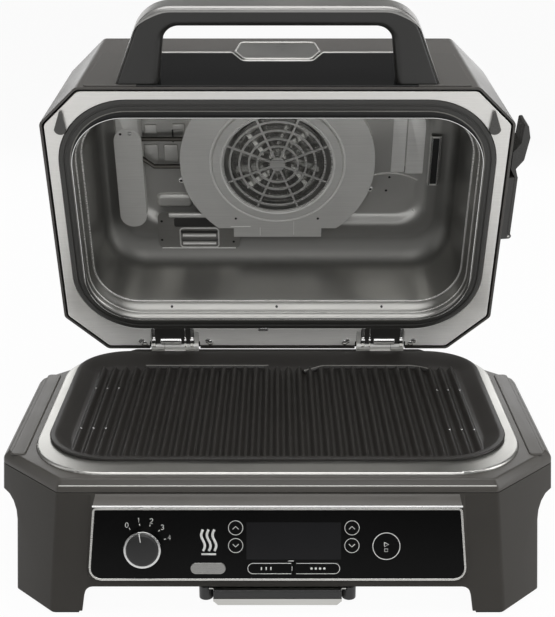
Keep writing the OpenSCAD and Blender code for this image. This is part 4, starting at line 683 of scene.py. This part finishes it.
def handle_pieces():
    """Handle: a section with rounded corners, its inner front one the largest, is spanned between an
    outer and an inner bent outline and carried along both. The strip's section lies on the outer outline
    and, along the bar, turns over the front edge by a quarter circle whose radius fades out down the
    legs."""
    outer = bent([[-188, 0], [-152, 92], [152, 92], [188, 0]], 46.0)
    inner = bent([[-139, 0], [-130, 69], [130, 69], [139, 0]], 20.0)
    span = np.linalg.norm(inner - outer, axis=1)[:, None]
    turn = np.linspace(0, np.pi / 2, 9)
    rise, fall = 1 - np.sin(turn), 1 - np.cos(turn)
    near, far = 5.0, 31.0
    corner, front_corner, back_corner = 3.6, 9.0, 6.0
    outside = np.concatenate([corner * rise, corner * fall])
    inside = np.concatenate([front_corner * rise, back_corner * fall])
    across = np.concatenate([far - corner * fall, near + corner * rise,
                             near + front_corner * fall, far - back_corner * rise])
    share = np.hstack([outside / span, 1 - inside / span])
    flat = outer[:, None, :] + (inner - outer)[:, None, :] * share[..., None]
    grip = loft(on_lid_front(flat[..., 0], across[None, :], LID_PANEL + flat[..., 1]))
    piece("handle_grip", [grip], "lid", LOOKS["handle_plastic"], stands_for=["handle"])
    wrap = smooth(np.clip((outer[:, 1:] - 62.0) / 28.0, 0, 1))
    bend, low, one = 6.0 * wrap, 6.5 - 1.9 * wrap, np.ones_like(wrap)
    over, under = 1.6 * one, -0.4 * one
    out = np.hstack([over, over, over - bend * fall, np.minimum(over - bend, under), under, under])
    edge, mid, lap = 29.5 * one, 20.0 * one, low + 1.4
    across = np.hstack([edge, mid, low + bend * rise, lap, lap + bend, edge])
    flat = outer[:, None, :] + sides(outer, False)[:, None, :] * out[..., None]
    strip = loft(on_lid_front(flat[..., 0], across, LID_PANEL + flat[..., 1]))
    piece("handle_wrap", [strip], "lid", LOOKS["strip_metal"], stands_for=["handle_strip"])


def hinge_fittings():
    """Hinges as seen on the open lid: dark pockets of painted shade, a round barrel between cheeks, straps
    and a tab on the trim, and dome caps. A barrel is a circle carried across the lid, and a cheek is a
    rounded rectangle carried across it."""
    turn = np.linspace(0, 2 * np.pi, 28, endpoint=False)
    trim = off_roof(0.0)
    bright, pockets = [], []
    for side in (-1, 1):
        ends = side * np.array([158.0, 157.4, 130.6, 130.0])[::side, None]
        girth = np.array([3.7, 4.2, 4.2, 3.7])[:, None]
        barrel = on_lid(ends, 10.0 + girth * np.cos(turn), -0.1 + girth * np.sin(turn))
        bright.append(loft(barrel, flip=True))
        for x, width in ((167.0, 4.4), (124.6, 2.6), (115.6, 4.4)):
            cheek = rounded_ring(7.0, -4.2, 0.6, 2.0, 6, 3)[0]
            at = side * x + np.array([-width / 2, width / 2])[:, None]
            bright.append(loft(on_lid(at, 7.0 + cheek[:, 0], cheek[:, 1]), flip=True))
            bright.append(pad(trim, side * x, width / 2 - 0.4, 13.0, 30.5, 0.6, 0.42, 0.3))
        bright += [lathe(trim, side * x, u, headed(4.2, 2.6), 24) for x, u in ((180.0, 5.8), (91.0, 7.2))]
        pockets.append(pad(trim, side * 141.3, 28.6, 2.0, 31.0, 3.0, 0.3, 0.2))
    bright.append(pad(trim, -19.3, 7.0, 26.4, 31.0, 2.2, 0.42, 0.4))
    piece("hinge_barrels", bright, "lid", LOOKS["chrome"])
    # painted shade: the hinge pockets are dark
    piece("hinge_pockets", pockets, "lid", PAINTED_SHADE_INSET)


def mouth_lines():
    """Pressed edge round the lid's mouth: a dark flange of painted shade between two rounded rectangles
    that part at the top, a bright lip on the inner one and a pale line on the outer one that is a painted
    highlight, each a low ridge."""
    face = off_roof(-0.3)
    outer = rounded_ring(MOUTH_X + 1.8, MOUTH_LOW - 1.8, MOUTH_HIGH + 1.0, MOUTH_R + 1.0, 20, 12)[0]
    inner = rounded_ring(MOUTH_X + 0.4, MOUTH_LOW - 0.4, MOUTH_HIGH - 8.0, MOUTH_R - 5.0, 20, 12)[0]
    ring = np.stack([outer, inner])
    flange = sheet(face(ring[..., 0], ring[..., 1], 0.05), wrap_columns=True)
    # painted shade: the flange is black
    thicken(piece("mouth_flange", [flange], "lid", SHADE_AND_SEAM_BLACK), 0.4)
    piece("mouth_lip", [bead(face, inner, 1.4, 0.25, closed=True)], "lid", LOOKS["chrome"])
    # painted highlight line along the gasket's edge
    piece("gasket_line", [bead(face, outer, 1.5, 0.25, closed=True)], "lid", PAINTED_HIGHLIGHT_EDGE)


# Panel pieces

def print_piece(name, parts, body):
    """Thin white print on a face."""
    thicken(piece(name, parts, body, INK), INK_H)


def digit(number, x, s, h):
    """Strokes of one figure in a box h tall: each is a line or an arc."""
    w = h * 0.3
    if number == 0:
        return [arc_path(x, s, h / 2, 0, 360, 25, rx=w)]
    if number == 1:
        return [np.array([[x - w * 0.6, s + h * 0.28], [x, s + h / 2], [x, s - h / 2]])]
    if number == 2:
        top = arc_path(x, s + h / 2 - w, w, 160, -35, 12)
        return [np.vstack([top, [[x - w, s - h / 2], [x + w, s - h / 2]]])]
    if number == 3:
        return [np.vstack([arc_path(x, s + h * 0.25, h * 0.25, 150, -80, 12, rx=w * 0.9),
                           arc_path(x, s - h * 0.25, h * 0.25, 80, -150, 12, rx=w)])]
    stem, bar = x + w * 0.4, s - h * 0.18
    return [np.array([[stem, s - h / 2], [stem, s + h / 2], [x - w, bar], [x + w, bar]])]


def on_ray(turn, *radii):
    """Points on a ray from the dial's axis, at an angle in degrees from straight up."""
    way = np.array([math.sin(math.radians(turn)), math.cos(math.radians(turn))])
    return np.array([DIAL_X, DIAL_S]) + np.outer(radii, way)


def dial_marks():
    """Five marks and figures on rays from the dial's axis."""
    marks = []
    for number, turn in enumerate(TICKS):
        marks.append(ribbon(on_ray(turn, 23.5, 25.5), 0.8, PANEL_TOP))
        x, s = on_ray(turn, 29.5)[0]
        marks += [ribbon(line, 0.62, PANEL_TOP) for line in digit(number, x, s, 5.0)]
    print_piece("dial_figures", marks, "base")


def key_marks():
    """Ring and chevron on each arrow key, on the key's own body."""
    for side, x in (("left", -44.2), ("right", 78.6)):
        for way, s, sign in (("up", 96.1, 1), ("down", 77.1, -1)):
            ring = ribbon(circle(x, s, 7.6, 48), 0.6, KEY_TOP, closed=True)
            tip = np.array([[x - 3.1, s - 1.5 * sign], [x, s + 1.5 * sign], [x + 3.1, s - 1.5 * sign]])
            print_piece(f"{side}_{way}_mark", [ring, ribbon(tip, 0.75, KEY_TOP)], f"{side}_{way}_key")


def half_pill(x, s, length, r, side):
    """Outline of one half of a pill, open at the middle: a straight run, a half circle and a straight
    run back."""
    turn = arc_path(x + side * (length - r), s, r, 90, 90 - 180 * side, 20)
    return np.vstack([[[x + side * 2.0, s + r]], turn, [[x + side * 2.0, s - r]]])


def panel_prints():
    """Plain signs in the place of words: outlines of the mode keys, a start ring and heat waves."""
    left = ribbon(half_pill(16.6, MODE_S, 48.0, 5.6, -1), 0.6, KEY_TOP)
    divider = ribbon([[15.4, 50.0], [15.4, 54.8]], 0.5, KEY_TOP)
    bars = [ribbon([[x, MODE_S - 1.6], [x, MODE_S + 1.6]], 1.3, KEY_TOP) for x in (-17.0, -12.0, -7.0)]
    print_piece("mode_left_outline", [left, divider, *bars], "mode_left_key")
    right = ribbon(half_pill(17.8, MODE_S, 48.0, 5.6, 1), 0.6, KEY_TOP)
    dots = [ribbon(circle(36.0 + 4.5 * k, MODE_S, 0.7, 13), 1.2, KEY_TOP, closed=True) for k in range(4)]
    print_piece("mode_right_outline", [right, *dots], "mode_right_key")
    ring = ribbon(circle(115.0, 76.4, 14.3, 72), 0.8, KEY_TOP, closed=True)
    start = ribbon([[112.9, 80.6], [112.9, 75.8], [117.3, 78.2], [112.9, 80.6]], 0.7, KEY_TOP)
    stop = ribbon([[113.2, 73.6], [113.2, 70.6], [116.4, 70.6], [116.4, 73.6], [113.2, 73.6]], 0.5, KEY_TOP)
    print_piece("start_outline", [ring, start, stop], "start_key")
    climb = np.linspace(0, 1, 26)
    wave = np.stack([-72.7 + 1.9 * np.sin(2 * np.pi * climb), 71.0 + 23.0 * climb], -1)
    waves = [ribbon(wave + [shift, 0.0], 2.6, PANEL_TOP) for shift in (-6.0, 0.0, 6.0)]
    plinth = ribbon([[-80.5, 67.6], [-64.9, 67.6]], 1.9, PANEL_TOP)
    lamp = ribbon([[11.2, 60.3], [17.0, 60.3]], 0.8, PANEL_TOP)
    print_piece("heat_sign", [*waves, plinth, lamp], "base")


def dial_pointer():
    """Pointer line on the dial's top, along the ray of the mark it rests at."""
    print_piece("dial_pointer", [ribbon(on_ray(TICKS[1], 9.0, 18.6), 1.0, DIAL_TOP)], "dial_knob")


def roof_fittings():
    """What is pressed into or screwed to the lid's roof: fields and a curved ridge, two shields, the
    terminal cover's neck, the baffle's edges and slot, screws and holes. Each is a pad, a bead or a turned
    form on its own face, and three holes are on the hinge side's flared lip, which leans by its slope. The
    slot, the holes and the screws' sockets are black as painted shade, and a seam is a dark joint."""
    roof, cover, baffle = off_roof(ROOF_V), off_roof(COVER_V), off_roof(BAFFLE_V)
    fields = [pad(roof, x, half, low, high, 2.5, 1.8, 1.6) for x, half, low, high in (
        (-166.5, 8.5, 246, 270), (-167.5, 9.5, 206, 240), (-141.5, 9.5, 214, 240), (-129.5, 8.5, 262, 271))]
    fields.append(pad(roof, -140.0, 25.0, 143.0, 165.0, 8.0, 5.0, 6.0))
    fields.append(bead(roof, arc_path(150.0, 131.0, 65.0, 112, 56, 24, rx=68.0), 3.0, 1.2))
    piece("roof_pressings", fields, "lid", ROOF_STEEL)
    shields = [pad(roof, 161.0, 9.0, 198.0, 290.0, 1.0, 1.0, 0.8),
               pad(roof, 183.8, 12.4, 196.0, 288.0, 1.0, 2.2, 0.8)]
    piece("side_shields", shields, "lid", SHIELD)
    neck = pad(roof, -196.0, 17.8, 215.0, 304.0, 3.0, ROOF_V - COVER_V - 0.5, 4.6)
    piece("cover_neck", [neck], "lid", SHEET)
    posts = [bead(baffle, [[x, 186.0], [x, 258.0]], 2.4, 1.4) for x in (202.4, 213.6)]
    piece("baffle_edges", posts, "lid", LOOKS["chrome"])
    slot = pad(baffle, 208.0, 4.2, 187.5, 256.5, 0.8, 0.3, 0.2)
    # painted shade: the slot is black
    piece("baffle_slot", [slot], "lid", SHADE_AND_SEAM_BLACK)
    left, right = (-130.2, 185.2), (125.7, 171.7)
    heads = [lathe(roof, *left, headed(4.0, 2.0)), lathe(roof, *right, headed(4.2, 2.0)),
             lathe(cover, -192.4, 265.6, headed(2.6, 2.0))]
    piece("lid_screws", heads, "lid", LOOKS["zinc_steel"])
    lip_u, lip_v, lip_slope = 55.3, 16.0, 0.577
    lip = lambda x, v, d: on_lid(x, lip_u + lip_slope * (v - lip_v) + d, v)
    shroud, vent = off_roof(SHROUD_V), off_roof(VENT_V)
    places = [(roof, 147.5, 168.8), (roof, 151.0, 189.7), (cover, -204.6, 264.6), (shroud, -56.8, 135.7),
              (shroud, 55.0, 135.7), (vent, -159.0, 127.2), (vent, -160.0, 96.7), (vent, -60.8, 93.8),
              (lip, -141.6, lip_v), (lip, -1.2, lip_v), (lip, 139.5, lip_v)]
    disc = lambda r: [[r, SUNK], [r, 0.15], [0.3, 0.15]]
    holes = [lathe(frame_at, x, y, disc(1.7), 16) for frame_at, x, y in places]
    sockets = [lathe(off_roof(ROOF_V - 1.9), *at, disc(1.9), 6) for at in (left, right)]
    seam = pad(roof, -138.0, 1.1, 243.0, 262.0, 0.8, 0.4, 0.3)
    # painted shade: holes and sockets are black; the seam is a dark joint
    piece("lid_holes", holes + sockets + [seam], "lid", SHADE_AND_SEAM_BLACK)


def vent_fittings():
    """Lips, border, edge, flange and dark inset of the vent plate, the inset's dark colour being painted
    shade, and the rings and tab folds of the fan shroud. Each is a bead along a path or a pad."""
    vent, shroud, raised = off_roof(VENT_V), off_roof(SHROUD_V), off_roof(RAISED_V)
    window = rounded_ring(26.5, 84.5, 116.0, 5.0, 8, 3)[0] + np.array([-108.0, 0.0])
    lips = [bead(vent, [[-131.0, u], [-85.0, u]], 4.2, 3.0) for u in (104.4, 91.4)]
    edge = bead(vent, [[-160.0, 83.6], [-58.0, 83.6]], 1.8, 1.3)
    border = bead(vent, window, 2.0, 0.9, closed=True)
    flange = pad(vent, -119.0, 30.0, 134.0, 140.6, 2.0, 2.6, 2.4)
    piece("vent_lips", [*lips, border, edge, flange], "lid", PALE_STEEL)
    inset = pad(vent, -112.0, 30.0, 118.4, 132.6, 3.0, 0.5, 0.4)
    # painted shade: the vent's inset is dark
    piece("vent_inset", [inset], "lid", PAINTED_SHADE_INSET)
    rings = [bead(base, circle(0.0, FAN_U, r, 121), width, height, closed=True)
             for base, r, width, height in ((shroud, 89.0, 3.0, 1.2), (raised, 75.2, 2.4, 1.0))]
    folds = [bead(shroud, path, 1.0, 0.5) for path in (
        [[-64.0, 122.6], [-37.0, 122.6]], [[-24.0, 108.5], [-24.0, 121.0]], [[22.0, 110.0], [22.0, 131.0]])]
    piece("shroud_beads", rings + folds, "lid", SHIELD)


def lid_front_trim():
    """Bright line along the top of the lid's gloss panel, led round the badge, and the badge's own rim.
    Both are beads on paths mirrored about the middle."""
    panel = lambda x, w, d: on_lid_front(x, w, LID_PANEL + d)
    badge = lambda x, w, d: on_lid_front(x, w, BADGE + d)
    corner = np.array([[-57.5, 100.6], [-55.0, 99.0], [-44.0, 77.5], [-41.0, 75.2], [-36.0, 74.6]])
    line = np.vstack([[[-160.0, 100.6]], corner, (corner * [-1, 1])[::-1], [[160.0, 100.6]]])
    half = np.array([[38.0, 79.5], [42.0, 82.0], [51.5, 101.0], [51.5, 104.0], [46.0, 129.0],
                     [43.0, 131.0]])
    mirrored = (half * [-1, 1])[::-1]
    rim = np.vstack([mirrored[-1:], half, mirrored[:-1]])
    piece("lid_front_line", [bead(panel, line, 1.8, 0.9)], "lid", LOOKS["trim_steel"])
    piece("badge_rim", [bead(badge, rim, 1.8, 0.8, closed=True)], "lid", LOOKS["trim_steel"])


def plate_casting():
    """Cast grill plate as a height over the plane: x runs across the rounded outline's width at each y.
    From the outline inwards come a small edge radius, a flat rim and a wall that falls to the floor over
    a run that is short in front, longer at the sides and longest at the back. Smooth ribs of one pitch
    rise from the floor, and the higher of wall and rib is taken. Loops of the outline, set in and down,
    make the outer skirt and the underside."""
    front_y, front_r, back_y, back_r = 152.0, 76.0, 341.0, 64.0
    front_run, side_run, back_run = 8.0, 19.0, 37.0
    rim, radius, pitch = 5.5, 1.2, 14.1
    rib_half, rib_rise, rib_back, rib_side = 6.2, 6.5, 352.0, 231.0
    quarter = np.linspace(0, np.pi / 2, 42)
    y = np.concatenate([front_y - front_r * np.cos(quarter), np.linspace(front_y, back_y, 32)[1:-1],
                        back_y + back_r * np.sin(quarter)])
    lead, tail = np.clip(front_y - y, 0, front_r)[:, None], np.clip(y - back_y, 0, back_r)[:, None]
    front = tail <= 0
    corner = np.where(front, front_r, back_r)
    middle = PLATE_X - corner
    off = np.where(front, lead, tail)
    x = (middle + np.sqrt(np.maximum(corner ** 2 - off ** 2, 0))) * np.linspace(-1, 1, 600)[None, :]
    past = np.maximum(np.abs(x) - middle, 0)
    inside = corner - np.hypot(past, off)
    share = past ** 2 / np.maximum(past ** 2 + off ** 2, 1e-9)
    run = side_run * share + np.where(front, front_run, back_run) * (1 - share)
    fall = np.clip((inside - rim) / run, 0, 1)
    edge = np.clip(1 - inside / radius, 0, 1)
    wall = PLATE_RIM - (PLATE_RIM - PLATE_FLOOR) * (0.4 * fall + 0.6 * smooth(fall))
    wall = wall - radius * (1 - np.sqrt(1 - edge ** 2))
    slope = np.clip(np.abs((x / pitch + 0.5) % 1 - 0.5) * pitch / rib_half, 0, 1)
    reach = np.clip((rib_back - y[:, None]) / 3.0, 0, 1) * np.clip((rib_side - np.abs(x)) / 2.0, 0, 1)
    rib = PLATE_FLOOR + rib_rise * (1 - smooth(slope)) * reach
    top = sheet(on_stand(x, y[:, None], np.maximum(wall, rib)))
    flat = np.stack(np.broadcast_arrays(x, y[:, None]), -1)
    loop = np.vstack([flat[0, :-1], flat[:-1, -1], flat[-1, :0:-1], flat[:0:-1, 0]])
    centre = np.array([0.0, PLATE_Y])
    inset = 1 - np.array([0, 1.0, 6.5, 7.0])[:, None] / np.array([PLATE_X, PLATE_Y - front_y + front_r])
    loops = centre + (loop - centre)[None, :, :] * inset[:, None, :]
    drop = np.array([146.2, 143.6, 143.6, 135.6])[:, None]
    skirt = sheet(on_stand(loops[..., 0], loops[..., 1], drop), wrap_columns=True, flip=True, cap_last=True)
    piece("plate_casting", [top, skirt], "base", LOOKS["nonstick"], sharp=60.0,
          stands_for=["grill_plate"])


def stand_fittings():
    """Studs and the raised back ledge with a painted highlight along its edge on the plate, the fields of
    the two carry grips, a painted highlight line on the deck's front bevel, the hood over the panel, paler
    as painted light, and the brow below it. The hood stands off the face by a power of its fall."""
    crest, floor, deck, ledge = off_deck(147.0), off_deck(PLATE_FLOOR), off_deck(140.5), off_deck(145.5)
    studs = [lathe(crest, side * x, y, headed(1.5, 0.9), 16)
             for side, back, front in ((-1, 274.2, 154.8), (1, 268.6, 151.0))
             for x in (197.4, 211.5, 225.6) for y in (back, front)]
    piece("plate_studs", studs, "base", LOOKS["chrome"])
    slant = [[34.0, 338.0], [56.0, 354.6], [61.0, 356.4]]
    lines = [np.array([[-172.0, 356.8], [-12.0, 356.8]]),
             np.vstack([slant, arc_path(168.0, 316.4, 40.0, 90, 42, 14)])]
    ledges = [bead(floor, line, 7.0, 5.6) for line in lines]
    piece("plate_ledge", ledges, "base", LOOKS["nonstick"])
    edges = [bead(ledge, line - [0, 2.0], 1.5, 0.9) for line in lines]
    # painted highlight along the ledge's edge
    piece("ledge_edge", edges, "base", PAINTED_HIGHLIGHT_EDGE)
    grips = [pad(deck, side * 287.5, 8.6, 98.0, 334.0, 5.0, 1.4, 2.0) for side in (-1, 1)]
    piece("grip_fields", grips, "base", LOOKS["deck_plastic"])
    bevel_y, bevel_z, back, up = 35.4, 133.6, 0.65, 0.76
    bevel = lambda x, t, d: on_stand(x, bevel_y + back * t - up * d, bevel_z + up * t + back * d)
    # painted highlight along the deck's front bevel
    piece("deck_line", [bead(bevel, [[-232.0, 0.9], [232.0, 0.9]], 1.5, 0.6)], "base", PAINTED_HIGHLIGHT_LINE)
    top, low, narrow, wide = 130.5, 119.5, 193.0, 195.0
    fall = np.linspace(0, 1, 12)
    climb = np.concatenate([top - (top - low) * fall, [low, top]])
    stand = np.concatenate([1.0 + 6.2 * fall ** 1.3, [SUNK, SUNK]])
    half = np.concatenate([narrow + (wide - narrow) * fall, [wide, narrow]])
    hood = on_face(np.array([-1.0, 1.0])[:, None] * half, climb, stand)
    # the hood's paler tone is painted light
    piece("panel_hood", [loft(hood)], "base", HOOD_PAINTED_LIGHT)
    panel = lambda x, s, d: on_face(x, s, PANEL_TOP + d)
    brow = bead(panel, [[-195.5, 118.6], [195.5, 118.6]], 2.2, 0.9)
    piece("panel_brow", [brow], "base", LOOKS["chrome"])


dress_nodes()
soft_nodes()
liner_pressing()
handle_pieces()
hinge_fittings()
mouth_lines()
roof_fittings()
vent_fittings()
lid_front_trim()
plate_casting()
stand_fittings()
dial_marks()
key_marks()
panel_prints()
dial_pointer()


# Stage, light and camera

def stage():
    """Pale floor that looks white to the camera and in reflections, and keeps the object's shadow."""
    reach, white = 14.0, 0.955
    points = np.array([[-reach, -reach, 0], [reach, -reach, 0], [reach, reach, 0], [-reach, reach, 0]])
    mesh = bpy.data.meshes.new("studio_floor")
    mesh.from_pydata(points.tolist(), [], [[0, 1, 2, 3]])
    floor = placed("studio_floor", mesh)
    look = bpy.data.materials.new("studio_paper")
    look.use_nodes = True
    tree = look.node_tree
    paper = tree.nodes["Principled BSDF"]
    paper.inputs["Base Color"].default_value = (0.86, 0.86, 0.86, 1)
    paper.inputs["Roughness"].default_value = 0.9
    glow = tree.nodes.new("ShaderNodeEmission")
    glow.inputs["Color"].default_value = (1, 1, 1, 1)
    path = tree.nodes.new("ShaderNodeLightPath")
    seen = sums(tree, "MAXIMUM", path.outputs["Is Camera Ray"], sums(
        tree, "MAXIMUM", path.outputs["Is Glossy Ray"], path.outputs["Is Transmission Ray"]))
    mix = tree.nodes.new("ShaderNodeMixShader")
    tree.links.new(sums(tree, "MULTIPLY", seen, white), mix.inputs["Fac"])
    tree.links.new(paper.outputs["BSDF"], mix.inputs[1])
    tree.links.new(glow.outputs["Emission"], mix.inputs[2])
    tree.links.new(mix.outputs["Shader"], tree.nodes["Material Output"].inputs["Surface"])
    mesh.materials.append(look)


def softbox(name, place, target, size, power):
    """Area lamp of the given width and height, turned from its place to its target."""
    lamp = bpy.data.lights.new(name, "AREA")
    lamp.shape = "RECTANGLE"
    lamp.size, lamp.size_y = size
    lamp.energy = power
    box = placed(name, lamp)
    box.location = place
    box.rotation_euler = (Vector(target) - Vector(place)).to_track_quat("-Z", "Y").to_euler()


def light():
    """Dim air and five softboxes: above, at both sides, in front and behind."""
    world = bpy.data.worlds.new("studio_air")
    bpy.context.scene.world = world
    world.use_nodes = True
    world.node_tree.nodes["Background"].inputs["Color"].default_value = (0.12, 0.12, 0.12, 1)
    softbox("top_softbox", (0.0, -0.25, 1.9), (0.0, 0.0, 0.15), (1.8, 1.2), 20.0)
    softbox("left_softbox", (-1.6, -0.4, 0.9), (0.0, 0.0, 0.3), (0.6, 1.4), 3.0)
    softbox("right_softbox", (1.6, -0.4, 0.9), (0.0, 0.0, 0.3), (0.6, 1.4), 10.0)
    softbox("front_softbox", (0.0, -2.2, 1.75), (0.0, 0.0, 0.3), (1.9, 0.8), 14.0)
    softbox("rear_softbox", (0.0, 2.0, 0.95), (0.0, 0.0, 0.25), (2.6, 1.0), 16.0)


def camera():
    """The photograph's view: straight on, a little above, pitched down by 18.8 degrees."""
    lens = bpy.data.cameras.new("view")
    pitch, sensor, focal_pixels, pixels_high = 18.8, 36.0, 1200.0, 617.0
    lens.sensor_fit = "VERTICAL"
    lens.sensor_height = sensor
    lens.lens = focal_pixels / pixels_high * sensor
    eye = placed("view", lens)
    eye.location = (0.0, -1.394856, 0.722)
    eye.rotation_euler = (math.radians(90.0 - pitch), 0.0, 0.0)
    bpy.context.scene.camera = eye


stage()
light()
camera()
bpy.context.scene.view_settings.view_transform = "Standard"
